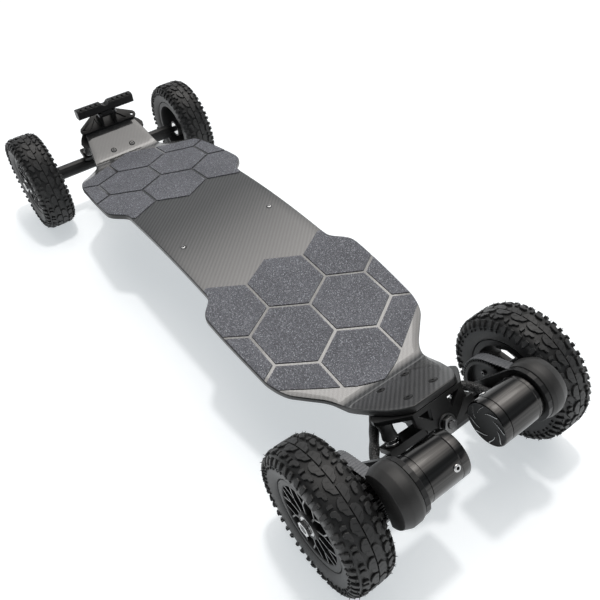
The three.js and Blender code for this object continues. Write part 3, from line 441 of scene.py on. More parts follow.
def tube_rings(path, radius, sides):
    """Rings round a path, carried along without twist; radius may be a function of the share along it."""
    tangents = np.gradient(path, axis=0)
    tangents /= np.linalg.norm(tangents, axis=1)[:, None]
    side = np.cross(tangents[0], (0, 0, 1))
    side = side if np.linalg.norm(side) > 0.1 else np.cross(tangents[0], (0, 1, 0))
    rings = []
    for i, (p, t) in enumerate(zip(path, tangents)):
        side = side - (side @ t) * t
        side = side / np.linalg.norm(side)
        up_way = np.cross(t, side)
        r = radius(i / (len(path) - 1)) if callable(radius) else radius
        rings.append([p + r * (math.cos(a) * side + math.sin(a) * up_way) for a in round_angles(sides)])
    return rings


def frame_at(origin, z_axis, x_hint=(1, 0, 0)):
    """Maps local points to the frame, with local Z along z_axis."""
    z = Vector(z_axis).normalized()
    x = Vector(x_hint) - Vector(x_hint).dot(z) * z
    if x.length < 1e-3:
        x = Vector((0, 1, 0)) - Vector((0, 1, 0)).dot(z) * z
    x.normalize()
    y = z.cross(x)
    o = Vector(origin)
    return lambda p: o + p[0] * x + p[1] * y + p[2] * z


def truck_point(facing):
    """Maps a truck's own frame (x out along the kick, y across, z up off the deck) to the whole frame."""
    return lambda p: Vector((facing * (END_X + p[0] * KX - p[2] * KZ), facing * p[1], END_Z + p[0] * KZ + p[2] * KX))


def drive_point(side):
    """Maps a drive's frame (x back from the axle, y out from the centre plane, z up) to the whole frame."""
    return lambda p: Vector((-AXLE_X - p[0], side * p[1], TYRE_R + p[2]))


def about_y(place, x=0.0, z=0.0):
    """Local Z becomes the drive's Y, at (x, z)."""
    return lambda p: place((x + p[0], p[2], z + p[1]))


def bolt(bm, place, radius, height, socket=0.5, material=0, sides=20, dark=None):
    """A button-head bolt with a hexagon socket; its seat is at local Z 0."""
    # The socket takes the material dark, which the deck and motor-can bolts set to near-black painted shade
    dark = material if dark is None else dark
    inside = radius * socket
    lip = inside * 1.05
    profile = [(0, -0.2), (radius, -0.2), (radius, height * 0.35), (radius * 0.86, height * 0.85),
               (radius * 0.66, height), (lip, height)]
    lathe(bm, profile, sides, place, material)
    hexagon = [(inside * math.cos(a), inside * math.sin(a)) for a in np.arange(6) * math.pi / 3]
    rows = []
    for h in (height, height * 0.3):
        rows.append([bm.verts.new(Vector(place((x, y, h))) * MM) for x, y in hexagon])
    for j in range(6):
        k = (j + 1) % 6
        bm.faces.new((rows[0][j], rows[0][k], rows[1][k], rows[1][j])).material_index = dark
    bm.faces.new(rows[1]).material_index = dark
    outer = [bm.verts.new(Vector(place((lip * math.cos(a), lip * math.sin(a), height))) * MM)
             for a in round_angles(sides)]
    for j in range(sides):
        k = (j + 1) % sides
        a, b = rows[0][int(j * 6 / sides + 0.5) % 6], rows[0][int(k * 6 / sides + 0.5) % 6]
        face = (outer[j], outer[k], b) if a == b else (outer[j], outer[k], b, a)
        bm.faces.new(face).material_index = material


# Deck: height, outline and points

ARCH, ARCH_DROP, ARCH_EASE = 300.0, 26, 2.5
CONCAVE, CONCAVE_FADE = 3.9, 60
# Half widths along the outline
WAIST, SHOULDER, CORNER, BAND, TAIL, TAIL_CORNER, TAIL_END = 113, 139, 123, 71.5, 62, 47, 33


def arch_height(x):
    return CROWN - ARCH_DROP * (x / ARCH) ** 2 + ARCH_EASE * (x / ARCH) ** 4


def kick_height(x):
    return DECK_Z - (DECK_X - x) * math.tan(KICK)


low, high = 0.0, DECK_X
for _ in range(40):
    middle = (low + high) / 2
    if arch_height(middle) > kick_height(middle):
        low = middle
    else:
        high = middle
BEND_X, BEND_RUN = low, 13.0


def deck_height(x):
    a, b = BEND_X - BEND_RUN, BEND_X + BEND_RUN
    t = np.clip((x - a) / (b - a), 0, 1)
    bend = (1 - t) ** 2 * arch_height(a) + 2 * t * (1 - t) * kick_height(BEND_X) + t**2 * kick_height(b)
    return np.where(x <= a, arch_height(x), np.where(x >= b, kick_height(x), bend))


def deck_point(x, y, off):
    reach = abs(x)
    step = 1.3
    slope = 0.0 if reach < step else float(deck_height(reach) - deck_height(reach - step)) / step
    tilt = math.atan(slope)
    fade = min(1.0, max(0.0, (BEND_X - reach) / CONCAVE_FADE))
    rise = CONCAVE * fade * (y / SHOULDER) ** 2
    return (x - math.copysign(1, x) * math.sin(tilt) * off, y, float(deck_height(reach)) + rise + math.cos(tilt) * off)


def quarter_outline(inset=0.0, steps=10):
    at = lambda share, half: np.array([share * DECK_X, half - inset])

    def curve(*p):
        t = np.linspace(0, 1, steps + 1)[:, None]
        if len(p) == 4:
            return (1 - t) ** 3 * p[0] + 3 * t * (1 - t) ** 2 * p[1] + 3 * t**2 * (1 - t) * p[2] + t**3 * p[3]
        return (1 - t) ** 2 * p[0] + 2 * t * (1 - t) * p[1] + t**2 * p[2]

    waist, shoulder = at(0.27, WAIST), at(0.37, SHOULDER)
    corner, notch = at(0.64, SHOULDER * 0.955), at(0.722, CORNER * 0.92)
    band, tail = at(0.83, BAND * 0.985), at(0.955, TAIL_CORNER * 1.12)
    rows = [
        [at(0, WAIST)],
        curve(waist, at(0.31, WAIST), at(0.32, SHOULDER), shoulder),
        curve(shoulder, at(0.47, SHOULDER), at(0.57, SHOULDER * 0.97), corner),
        curve(corner, at(0.7, CORNER * 1.03), notch),
        curve(at(0.77, BAND * 1.22), at(0.8, BAND * 1.01), band),
        [at(0.9, TAIL)],
        curve(tail, at(0.99, TAIL_CORNER * 0.93), np.array([DECK_X - inset, TAIL_END - inset])),
    ]
    points = np.vstack(rows)
    keep = np.concatenate([[True], np.linalg.norm(np.diff(points, axis=0), axis=1) > 1e-4])
    return points[keep]


quarter = quarter_outline()


def half_width(x):
    return float(np.interp(abs(x), quarter[:, 0], quarter[:, 1]))


def board_rings():
    edge = 1.6
    plain = sorted(set(np.round(np.concatenate([quarter[:, 0], np.arange(0, DECK_X, 8)]), 3)))
    plain = [x for x in plain if x < DECK_X - edge - 0.3]
    half = [(x, 0.0) for x in plain]
    half += [(DECK_X - edge + edge * math.sin(a), edge * (1 - math.cos(a))) for a in np.radians([0, 30, 60, 90])]
    rings = []
    for x, draw in [(-x, d) for x, d in reversed(half[1:])] + half:
        w = half_width(min(abs(x), DECK_X)) - draw
        top, bottom = -draw, -DECK_T + draw
        shares = np.linspace(-1, 1, 13)
        ring = [(s * (w - edge), top) for s in shares]
        ring += [(w - edge + edge * math.sin(a), top - edge + edge * math.cos(a)) for a in np.radians([30, 60, 90])]
        ring += [(w - edge + edge * math.cos(a), bottom + edge - edge * math.sin(a)) for a in np.radians([0, 30, 60])]
        ring += [(-s * (w - edge), bottom) for s in shares]
        ring += [(-w + edge - edge * math.sin(a), bottom + edge - edge * math.cos(a)) for a in np.radians([30, 60, 90])]
        ring += [(-w + edge - edge * math.cos(a), top - edge + edge * math.sin(a)) for a in np.radians([0, 30, 60])]
        rings.append([deck_point(x, y, off) for y, off in ring])
    return rings


bm = bmesh.new()
skin(bm, board_rings())
bmesh.ops.recalc_face_normals(bm, faces=bm.faces)
for face in bm.faces:
    x = face.calc_center_median().x / MM
    way = Vector(deck_point(x, 0, 1)) - Vector(deck_point(x, 0, 0))
    if abs(face.normal @ way) < 0.8:
        face.material_index = 1
board = finish_object("deck_top", bm, [CARBON, EDGE], "deck", 50)

# Grip pads


def clip(polygon, keep):
    """Cuts a polygon by a half plane: keep is (normal, limit), and normal @ point <= limit stays."""
    n, limit = keep
    out = []
    for i in range(len(polygon)):
        a, b = polygon[i - 1], polygon[i]
        da, db = n @ a - limit, n @ b - limit
        if (da <= 0) != (db <= 0):
            out.append(a + (b - a) * (da / (da - db)))
        if db <= 0:
            out.append(b)
    return out


def half_planes(polygon):
    planes = []
    centre = np.mean(polygon, axis=0)
    for i in range(len(polygon)):
        a, b = polygon[i - 1], polygon[i]
        n = np.array([b[1] - a[1], a[0] - b[0]])
        n /= np.linalg.norm(n)
        if n @ (centre - a) > 0:
            n = -n
        planes.append((n, n @ a))
    return planes


def pad_outlines():
    side, gap, field = 61.1, 5.0, quarter_outline(1.2, 8)
    region = [p for p in field[::-1]] + [np.array([p[0], -p[1]]) for p in field]
    blunt = [np.array(p) for p in [(-9.0, 160.0), (327.0, 146.0), (394.0, 36.0), (409.0, 0.0)]]
    blunt += [np.array([p[0], -p[1]]) for p in blunt[-2::-1]]
    middle, pitch, reach = 0.548 * DECK_X, math.sqrt(3) * side, side - gap / math.sqrt(3)
    centres = []
    for row, places in [(-1, (-1, 0, 1)), (0, (-1.5, -0.5, 0.5, 1.5)), (1, (-1, 0, 1))]:
        centres += [(middle + row * 1.5 * side, s * pitch) for s in places]
    pads = []
    for cx, cy in centres:
        hexagon = [np.array([cx + reach * math.cos(a), cy + reach * math.sin(a)]) for a in np.arange(6) * math.pi / 3]
        shape = [np.array(p, float) for p in region]
        for plane in half_planes(hexagon) + half_planes(blunt):
            shape = clip(shape, plane)
            if len(shape) < 3:
                break
        if len(shape) >= 3:
            pads.append(shape)
    return pads


def pad_sheet(name, sign):
    bm = bmesh.new()
    rise, foot = 1.2, -0.3
    step_x, step_y = 9, 20
    for shape in pad_outlines():
        xs, ys = [p[0] for p in shape], [p[1] for p in shape]
        for x0 in np.arange(math.floor(min(xs) / step_x) * step_x, max(xs), step_x):
            strip = clip(clip(shape, (np.array([1.0, 0]), x0 + step_x)), (np.array([-1.0, 0]), -x0))
            for y0 in np.arange(math.floor(min(ys) / step_y) * step_y, max(ys), step_y):
                below = clip(strip, (np.array([0, 1.0]), y0 + step_y)) if strip else []
                cell = clip(below, (np.array([0, -1.0]), -y0)) if below else []
                if len(cell) < 3:
                    continue
                verts = []
                for p in cell:
                    v = Vector(deck_point(sign * p[0], sign * p[1], rise)) * MM
                    if not verts or (v - verts[-1]).length > 1e-6:
                        verts.append(v)
                if (verts[0] - verts[-1]).length < 1e-6:
                    verts.pop()
                if len(verts) >= 3:
                    bm.faces.new([bm.verts.new(v) for v in verts])
    bmesh.ops.remove_doubles(bm, verts=bm.verts, dist=2e-5)
    edges = [e for e in bm.edges if e.is_boundary]
    made = bmesh.ops.extrude_edge_only(bm, edges=edges)
    for v in [g for g in made["geom"] if isinstance(g, bmesh.types.BMVert)]:
        x, y = v.co.x / MM, v.co.y / MM
        v.co = v.co + (Vector(deck_point(x, y, foot)) - Vector(deck_point(x, y, rise))) * MM
    return finish_object(name, bm, GRIP, "deck", 40)


pad_sheet("grip_front", 1)
pad_sheet("grip_rear", -1)
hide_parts("deck_board")


def deck_bolt(name, x, y, radius, height, look):
    """A bolt head on the deck, in a near-black ring of painted shade."""
    bm = bmesh.new()
    a, b = Vector(deck_point(x, y, 0)), Vector(deck_point(x, y, 1))
    place = frame_at(a, b - a, (1, 0, 0))
    bolt(bm, place, radius, height, 0.5, 0, 20, 1)
    near, far = radius + 0.2, radius + 1.6
    lathe(bm, [(near, -0.3), (far, -0.3), (far, 0.12), (near, 0.25)], 24, place, 1, True)
    finish_object(name, bm, [look, PAINTED_SHADE], "deck", 35)


BOLT_Y = 21
for k, sign in enumerate((-1, 1)):
    deck_bolt(f"waist_bolt_{k}", -13, sign * 84.5, 3.6, 1.5, STEEL)
for facing, label in ((1, "front"), (-1, "rear")):
    for k, sign in enumerate((-1, 1)):
        head = DARK_STEEL if facing > 0 else BLACK
        deck_bolt(f"{label}_inner_bolt_{k}", facing * 425, sign * BOLT_Y, 4.4, 1.0, head)
for k, sign in enumerate((-1, 1)):
    deck_bolt(f"rear_outer_bolt_{k}", -476, sign * BOLT_Y, 4.6, 0.8, BLACK)

# Wheels

HUB_OUT, HUB_IN, WEB_OUT, WEB_IN = 27.0, 20.0, 24.0, 15.0
CARCASS_R, TREAD_R, TREAD_FROM = 96.6, 97, 89.5
MOST_R, MOST_Y = 99.9, 32.7


def tyre_profile():
    half = [(57.4, 0.0), (57.4, 14.0), (57.6, 21.8), (62.9, 22.2), (64.0, 25.5), (68.0, 27.6), (74.0, 29.0),
            (80.0, 29.6), (86.0, 29.0), (90.5, 26.6), (93.6, 22.6), (95.4, 17.0), (96.3, 9.0), (CARCASS_R, 0.0)]
    fine = smooth_path([(r, y, 0) for r, y in half[3:]], 2)
    side = [(r, y) for r, y in half[1:3]] + [(p[0], p[1]) for p in fine]
    return side[:-1] + [(CARCASS_R, 0.0)] + [(r, -y) for r, y in side[-2::-1]]


crown = [(CARCASS_R, 0), (96.3, 9), (95.4, 17), (93.6, 22.6), (90.5, 26.6), (86, 29), (80, 29.6)]
CROWN_LINE = smooth_path([(r, y, 0) for r, y in crown], 6)
CROWN_RUN = np.concatenate([[0], np.cumsum(np.linalg.norm(np.diff(CROWN_LINE, axis=0), axis=1))])


def tread_point(turn, s, off):
    """A point on the tread at an angle, s mm out from the middle line and off mm above the carcass."""
    side, reach = math.copysign(1, s), min(abs(s), CROWN_RUN[-1])
    r, y = (float(np.interp(reach, CROWN_RUN, CROWN_LINE[:, k])) for k in (0, 1))
    r2, y2 = (float(np.interp(min(reach + 0.5, CROWN_RUN[-1]), CROWN_RUN, CROWN_LINE[:, k])) for k in (0, 1))
    r1, y1 = (float(np.interp(max(reach - 0.5, 0), CROWN_RUN, CROWN_LINE[:, k])) for k in (0, 1))
    d = np.array([r2 - r1, y2 - y1])
    d /= np.linalg.norm(d)
    n = np.array([d[1], -d[0]])
    r, y = min(r + n[0] * off, MOST_R), min(y + n[1] * off, MOST_Y)
    return (r * math.cos(turn), side * y, r * math.sin(turn))


PITCHES = 24
# One pitch of each half's tread: outlines as (out, round) in mm, with a shift in pitches and a height
BLOCKS = [
    ([(0.4, -11.6), (4.6, -13.0), (8.4, -10.8), (10.8, -6.6), (11.4, -1.0), (9.0, 3.2), (7.2, 7.6), (4.2, 9.4),
      (0.4, 10.8)], 0.0, 2.6),
    ([(13.0, 1.6), (14.4, -3.4), (18.4, -5.2), (21.6, -4.0), (21.8, 0.2), (18.6, 3.0), (17.8, 7.4), (15.0, 8.8),
      (13.2, 6.6)], 0.0, 3.3),
    ([(14.4, -7.2), (13.6, -10.8), (17.4, -12.8), (21.0, -11.4), (21.2, -8.0), (18.0, -7.4)], 0.0, 3.0),
    ([(24.2, -9.8), (28.6, -11.4), (33.8, -9.6), (34.0, -4.6), (29.4, -3.6), (24.6, -5.0)], 0.1, 3.4),
    ([(24.4, 1.8), (29.6, 0.8), (34.2, 1.8), (34.2, 6.0), (29.0, 7.8), (24.4, 7.2)], 0.1, 3.4),
    ([(35.6, -8.4), (39.5, -7.6), (39.5, -5.4), (35.6, -5.4)], 0.1, 2.0),
    ([(36.0, 2.2), (39.5, 2.6), (39.5, 4.6), (36.0, 5.4)], 0.1, 2.0),
]
# Cuts in the blocks' tops, drawn as flat sheets in the darker groove rubber as painted shade: outline, shift and level
SIPES = [
    ([(2.0, -6.0), (6.4, -8.0), (6.8, -7.2), (2.2, -5.2)], 0.0, 2.62),
    ([(3.0, 2.6), (8.6, -0.6), (9.0, 0.2), (3.2, 3.5)], 0.0, 2.62),
    ([(15.4, 3.0), (20.6, -1.6), (21.2, -1.0), (15.9, 3.8)], 0.0, 3.32),
    ([(26.0, -6.2), (32.4, -7.6), (32.4, -6.8), (26.0, -5.4)], 0.1, 3.42),
]
# Moulding hairs: out, round and shift
HAIRS = [(31.5, -7.6, 0.1), (32.0, 3.6, 0.1), (26.4, 4.4, 0.1), (20.6, -9.4, 0.0), (33.4, -5.2, 0.1), (16.6, 5.6, 0.0),
         (8.0, 2.0, 0.0)]


def tyre(name, facing, side, body):
    place = lambda p: Vector((facing * AXLE_X + p[0], side * (TRACK / 2 + p[1]), TYRE_R + p[2]))
    bm = bmesh.new()
    rings = []
    for turn in round_angles(72):
        rings.append([place((r * math.cos(turn), y, r * math.sin(turn))) for r, y in tyre_profile()])
    skin(bm, rings, looped=True)
    middle = place((0, 0, 0))
    # The carcass round the crown takes the darker groove rubber, painted shade between the blocks
    for face in bm.faces:
        spot = face.calc_center_median() / MM
        if math.hypot(spot.x - middle.x, spot.z - middle.z) > TREAD_FROM:
            face.material_index = 1
    for k in range(PITCHES):
        for hand in (1, -1):
            turn_at = lambda shift: (k + shift + (0.5 if hand < 0 else 0)) * 2 * math.pi / PITCHES
            for outline, shift, height in BLOCKS:
                turn0 = turn_at(shift)
                rows = []
                for level, inset in ((-0.6, 0.0), (height - 0.5, 0.25), (height, 0.8)):
                    cs, ct = np.mean(outline, axis=0)
                    ring = []
                    for s, t in outline:
                        ds, dt = s - cs, t - ct
                        shrink = 1 - inset / max(abs(ds), abs(dt), 1.0)
                        s2, t2 = cs + ds * shrink, ct + dt * shrink
                        ring.append(place(tread_point(turn0 + t2 / TREAD_R, hand * s2, level)))
                    rows.append([bm.verts.new(p * MM) for p in ring])
                count = len(outline)
                for a, b in zip(rows, rows[1:]):
                    for j in range(count):
                        bm.faces.new((a[j], a[(j + 1) % count], b[(j + 1) % count], b[j]))
                tip = bm.verts.new(place(tread_point(turn0 + ct / TREAD_R, hand * cs, height)) * MM)
                for j in range(count):
                    bm.faces.new((rows[-1][j], rows[-1][(j + 1) % count], tip))
                bm.faces.new(rows[0][::-1])
            for outline, shift, level in SIPES:
                turn0 = turn_at(shift)
                ring = [bm.verts.new(place(tread_point(turn0 + t / TREAD_R, hand * s, level)) * MM) for s, t in outline]
                bm.faces.new(ring if hand * side > 0 else ring[::-1]).material_index = 1
            for s, t, shift in HAIRS:
                turn0 = turn_at(shift) + t / TREAD_R
                foot = [place(tread_point(turn0 + a / TREAD_R, hand * (s + b), 2.2))
                        for a, b in ((-0.7, -0.6), (0.7, -0.6), (0, 0.7))]
                ring = [bm.verts.new(p * MM) for p in foot]
                tip = bm.verts.new(place(tread_point(turn0 + 1.2 / TREAD_R, hand * (s + 0.8), 6.4)) * MM)
                for j in range(3):
                    bm.faces.new((ring[j], ring[(j + 1) % 3], tip))
                bm.faces.new(ring[::-1])
    return finish_object(name, bm, [RUBBER, GROOVE_SHADE], body, 30, (name.replace("_tread", ""),))


SPOKES = 10


def polar(r, w, a):
    """The point at radius r on the ray at angle a, moved w to its left."""
    return (r * math.cos(a) - w * math.sin(a), r * math.sin(a) + w * math.cos(a))


def rim(name, facing, side, body):
    place = lambda p: Vector((facing * (AXLE_X + p[0]), side * (TRACK / 2 + p[2]), TYRE_R + p[1]))
    bm = bmesh.new()
    barrel = [(62.3, 25), (61.6, 25.3), (57.8, 25.0), (54.6, 25.2), (53.4, 24.2), (52.6, 21), (52.6, -22), (54, -25),
              (62.3, -25), (62.3, -23.6), (57, -22.4), (57, 22.4), (62.3, 23.6)]
    lathe(bm, barrel, 72, place, 0, True)
    hub = [(14.3, HUB_OUT), (17.2, HUB_OUT), (18.6, HUB_OUT - 1.4), (19.4, WEB_OUT - 1), (18, WEB_IN),
           (17.5, -HUB_IN + 1), (16.8, -HUB_IN), (14.3, -HUB_IN)]
    lathe(bm, hub, 48, place, 0, True)
    for k in range(SPOKES):
        a0 = math.radians(67.5 + k * 360 / SPOKES)
        half_stem = [(17, 2.4), (24, 1.5), (37.5, 1.35)]
        stem = [polar(r, w, a0) for r, w in half_stem] + [polar(r, -w, a0) for r, w in half_stem[::-1]]
        arms = []
        for hand in (1, -1):
            a1 = a0 + hand * math.radians(10.8)
            root, tip = np.array(polar(35.4, 0, a0)), np.array(polar(53.8, 0, a1))
            d = (tip - root) / np.linalg.norm(tip - root)
            n = np.array([-d[1], d[0]])
            arms.append([root + n * 1.2, tip + n * 1.5, tip - n * 1.5, root - n * 1.2])
        for shape in [stem, *arms]:
            prism(bm, [tuple(p) for p in shape], WEB_IN, WEB_OUT, place, 0.5, 1, 0)
    return finish_object(name + "_face", bm, [RIM, SPOKE], body, 35, (name,))


for end, facing in (("front", 1), ("rear", -1)):
    for label, side in (("left", 1), ("right", -1)):
        wheel = f"{end}_{label}"
        tyre(f"{wheel}_tyre_tread", facing, side, f"{wheel}_wheel")
        rim(f"{wheel}_rim", facing, side, f"{wheel}_wheel")

# Drives

BELT_PITCH, TEETH_M, TEETH_W = 5, 16, 62
PITCH_M, PITCH_W = (teeth * BELT_PITCH / (2 * math.pi) for teeth in (TEETH_M, TEETH_W))
AIM = math.atan2(MOTOR_UP, MOTOR_BACK)
SPAN = math.hypot(MOTOR_BACK, MOTOR_UP)


def belt_path(off_low, off_high):
    """Points round the belt's loop, each with its distance off the pitch line, four to a tooth."""
    side = math.pi / 2 - math.asin((PITCH_W - PITCH_M) / SPAN)
    big = [(PITCH_W * math.cos(a), PITCH_W * math.sin(a), math.cos(a), math.sin(a))
           for a in np.linspace(AIM + side, AIM - side + 2 * math.pi, 200)]
    small = [(MOTOR_BACK + PITCH_M * math.cos(a), MOTOR_UP + PITCH_M * math.sin(a), math.cos(a), math.sin(a))
             for a in np.linspace(AIM - side, AIM + side, 60)]
    raw = np.array(big + small + big[:1])
    run = np.concatenate([[0], np.cumsum(np.linalg.norm(np.diff(raw[:, :2], axis=0), axis=1))])
    teeth = round(run[-1] / BELT_PITCH)
    places = np.arange(4 * teeth) * run[-1] / (4 * teeth)
    points = np.column_stack([np.interp(places, run, raw[:, k]) for k in range(4)])
    offs = np.tile([off_low, off_low, off_high, off_high], teeth)
    return [(x + nx * o, z + nz * o) for (x, z, nx, nz), o in zip(points, offs)]


def belt(label, side):
    place = drive_point(side)
    inner, outer = belt_path(0.05, 1.3), belt_path(2.45, 1.7)
    count = len(inner)
    bm = bmesh.new()
    rings = []
    for i in range(count):
        (xi, zi), (xo, zo) = inner[i], outer[i]
        rings.append([place((xi, 115.2, zi)), place((xo, 115.2, zo)), place((xo, 129.8, zo)), place((xi, 129.8, zi))])
    skin(bm, rings, looped=True)
    return finish_object(f"{label}_belt_loop", bm, BELT, "rear_hanger", 35, (f"{label}_belt",))


def wheel_pulley(label, side):
    place = about_y(drive_point(side))
    bm = bmesh.new()
    tip = PITCH_W - 0.57
    body = [(7, 122), (tip - 6, 122), (tip - 6, 114.2), (tip - 3, 114.0), (tip - 2, 114.0), (tip - 2, 131),
            (tip + 3.4, 131), (tip + 3.4, 133), (18, 133), (18, 151.5), (7, 151.5)]
    lathe(bm, body, TEETH_W, place, 0, True)
    for a in round_angles(TEETH_W):
        h = 1.6 / tip
        ring = [(tip * math.cos(a + s * h * w), tip * math.sin(a + s * h * w)) for s, w in ((-1, 0.7), (1, 0.7))]
        foot = [((tip - 2.2) * math.cos(a + s * h), (tip - 2.2) * math.sin(a + s * h)) for s in (1, -1)]
        prism(bm, ring + foot, 114.2, 130.9, place)
    for k in range(5):
        a = k * 2 * math.pi / 5
        bolt(bm, frame_at(place((26 * math.cos(a), 26 * math.sin(a), 122)), (0, -side, 0)), 4, 3, 0.5, 1, 14)
    finish_object(f"{label}_pulley_teeth", bm, [BLACK, DARK_STEEL], f"rear_{label}_wheel", 30,
                  (f"{label}_wheel_pulley",))


CAP_END = 41.0


def motor(label, side):
    place = about_y(drive_point(side), MOTOR_BACK, MOTOR_UP)
    r = MOTOR_R
    bm = bmesh.new()
    can = [(0, CAP_END + 0.4), (r - 0.9, CAP_END + 0.4), (r - 0.2, CAP_END + 0.6), (r, CAP_END + 1.2), (r, 86.5),
           (r - 0.7, 87), (r - 0.7, 88.4), (r, 88.9), (r, 96), (r - 0.5, 96.6), (0, 96.6)]
    lathe(bm, can, 96, place)
    finish_object(f"{label}_can_shell", bm, CAN, "rear_hanger", 30, (f"{label}_motor_can",))
    bm = bmesh.new()
    face = 29.0
    wall = [(0, CAP_END), (r - 0.6, CAP_END), (r, CAP_END - 0.6), (r, face + 1.4), (r - 0.5, face + 0.4),
            (r - 1.6, face)]
    lathe(bm, wall, 96, place, 1)
    lathe(bm, [(r - 1.6, face), (r - 3.0, face + 0.6), (0, face + 0.6)], 96, place, 0)
    # The eight vanes are drawn in bright steel: a painted highlight for the lit edges of the cap's curved slits
    for k in range(8):
        vane = []
        for t in np.linspace(0, 1, 9):
            a = k * math.pi / 4 + 0.3 + 0.75 * t**1.6
            vane.append((r * (0.91 - 0.36 * t), a, 0.42 * (1 - 0.7 * t)))
        line = [((q + w) * math.cos(a + w / q), (q + w) * math.sin(a + w / q)) for q, a, w in vane]
        line += [((q - w) * math.cos(a - w / q), (q - w) * math.sin(a - w / q)) for q, a, w in vane[::-1]]
        prism(bm, line, face + 0.8, face - 0.2, place, 0.0, 2)
    finish_object(f"{label}_cap_disc", bm, [CAP, CAN, STEEL], "rear_hanger", 30, (f"{label}_motor_end_cap",))
    bm = bmesh.new()
    way = Vector((-0.845 * side, 0, 0.535))
    spot = Vector(place((0, 0, 48.9))) + way * r
    bolt(bm, frame_at(spot, way, (0, 1, 0)), 4.8, 1.7, 0.5, 0, 24, 1)
    finish_object(f"{label}_can_bolt", bm, [STEEL, PAINTED_SHADE], "rear_hanger", 35)


for label, side in (("left", 1), ("right", -1)):
    belt(label, side)
    wheel_pulley(label, side)
    motor(label, side)
    bm = bmesh.new()
    place = about_y(drive_point(side), MOTOR_BACK, MOTOR_UP)
    cover = [(36.3, 104.4), (37.6, 105.2), (39.3, 109.6), (39.5, 110.6), (39.5, 121.4), (39.2, 122.6), (34.8, 133.2),
             (33.4, 133.9), (0, 133.9), (0, 131.6), (31.4, 131.6), (36.8, 121.6), (36.8, 110.6), (34, 104.4)]
    sweep = math.pi - math.asin(0.78) - 0.35
    angles = np.linspace(AIM + 2 * math.pi - sweep, AIM + 2 * math.pi + sweep, 60)
    rings = [[place((r0 * math.cos(a), r0 * math.sin(a), h)) for r0, h in cover] for a in angles]
    skin(bm, rings, caps=True)
    finish_object(f"{label}_cover_shell", bm, COVER, "rear_hanger", 35,
                  (f"{label}_pulley_cover",))

# Motor cables

# The route of the left cable: under the deck as (x, y, drop below its top), then in the frame to the motor
CABLE_Y = 87.0
under = [(-300.4, 51, 18), (-344.3, 50, 17.5), (-384.3, 46, 18), (-410.1, 42, 19), (-432, 41, 26)]
route = [(x, y, float(deck_height(-x)) - drop) for x, y, drop in under]
route += [(-444, 50, 121.5), (-454, 58, 119), (-466.5, 68.5, 121), (-479.5, 79.5, 124), (-491, 88, 124),
          (-506, 88, 129), (-521, CABLE_Y, 140)]
cable_aim = math.atan2(route[-1][2] - TYRE_R - MOTOR_UP, -route[-1][0] - AXLE_X - MOTOR_BACK)
gland_y, gland_z, exit_x = TRAY_HALF - TRAY_CORNER - 4.5, TRAY_BOTTOM + TRAY_DEPTH * 0.46, -(TRAY_LENGTH / 2 + 9.3)
reach = MOTOR_R + 4.3
tip = (-AXLE_X - MOTOR_BACK - reach * math.cos(cable_aim), CABLE_Y, TYRE_R + MOTOR_UP + reach * math.sin(cable_aim))
for label, side in (("left", 1), ("right", -1)):
    points = [(exit_x, gland_y, gland_z), (exit_x - 12, gland_y, gland_z), *route, tip]
    path = smooth_path([(x, side * y, z) for x, y, z in points], 7)
    bm = bmesh.new()
    swell = lambda t: 6.6 + 0.35 * math.sin(46 * t) if 0.06 < t < 0.9 else 5.9
    skin(bm, tube_rings(path, swell, 20))
    cable = finish_object(f"{label}_cable_sleeve", bm, SLEEVE, None, 50, (f"{label}_motor_cable",))
    start, end = Vector((-400, side * 44, 118)), Vector((-515, side * 88, 134))
    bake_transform(cable)

# Dampers

KING_Z, DAMPER_X, DAMPER_Y = -36.0, -44, 57
DAMPER_TOP, DAMPER_BOTTOM = -6.3, -39.3

for end, facing in (("front", 1), ("rear", -1)):
    place = truck_point(facing)
    for label, side in (("left", 1), ("right", -1)):
        y = side * facing * DAMPER_Y
        bm = bmesh.new()
        base = lambda p, y=y: place((DAMPER_X + p[0], y + p[1], p[2]))
        top, bottom = DAMPER_TOP, DAMPER_BOTTOM
        bush = [(0, 24.6), (9.8, 24.6), (10.4, 23.1), (9.0, 15), (9.4, 7), (11.2, 2.4), (12, 2), (12, 0), (0, 0)]
        lathe(bm, [(r, top - down) for r, down in bush], 28, base, 0)
        piece = finish_object(f"{end}_damper_{label}_bush", bm, [BUSH], None, 35, (f"{end}_damper_{label}",))
        a, b = Vector(place((DAMPER_X, y, top))), Vector(place((DAMPER_X, y, bottom)))
        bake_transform(piece)
        bm = bmesh.new()
        # Washer, hex nut, washer and cup, kept low enough to clear the top truck at full steer
        stack = [(top - 25.9, top - 24.7, 9.6, 1, 28), (top - 29.6, top - 26.0, 8.2, 0, 6),
                 (top - 31.1, top - 29.7, 10.4, 1, 28), (bottom, top - 31.2, 11.4, 2, 28)]
        for foot, head, r, material, sides in stack:
            profile = [(0, foot), (r - 0.4, foot), (r, foot + 0.4), (r, head - 0.4), (r - 0.4, head), (0, head)]
            lathe(bm, profile, sides, base, material)
        finish_object(f"{end}_damper_{label}_nut", bm, [DARK_STEEL, STEEL, BLACK], f"{end}_hanger", 35)
    bm = bmesh.new()
    base = lambda p: place((p[2], p[0], KING_Z + p[1]))
    lathe(bm, [(10.6, 0.15), (13.2, 0.15), (13.4, 0.5), (13.2, 1.8), (10.6, 1.8)], 32, base, 0, True)
    finish_object(f"{end}_king_washer", bm, [DARK_STEEL], "deck", 35)

# Power button

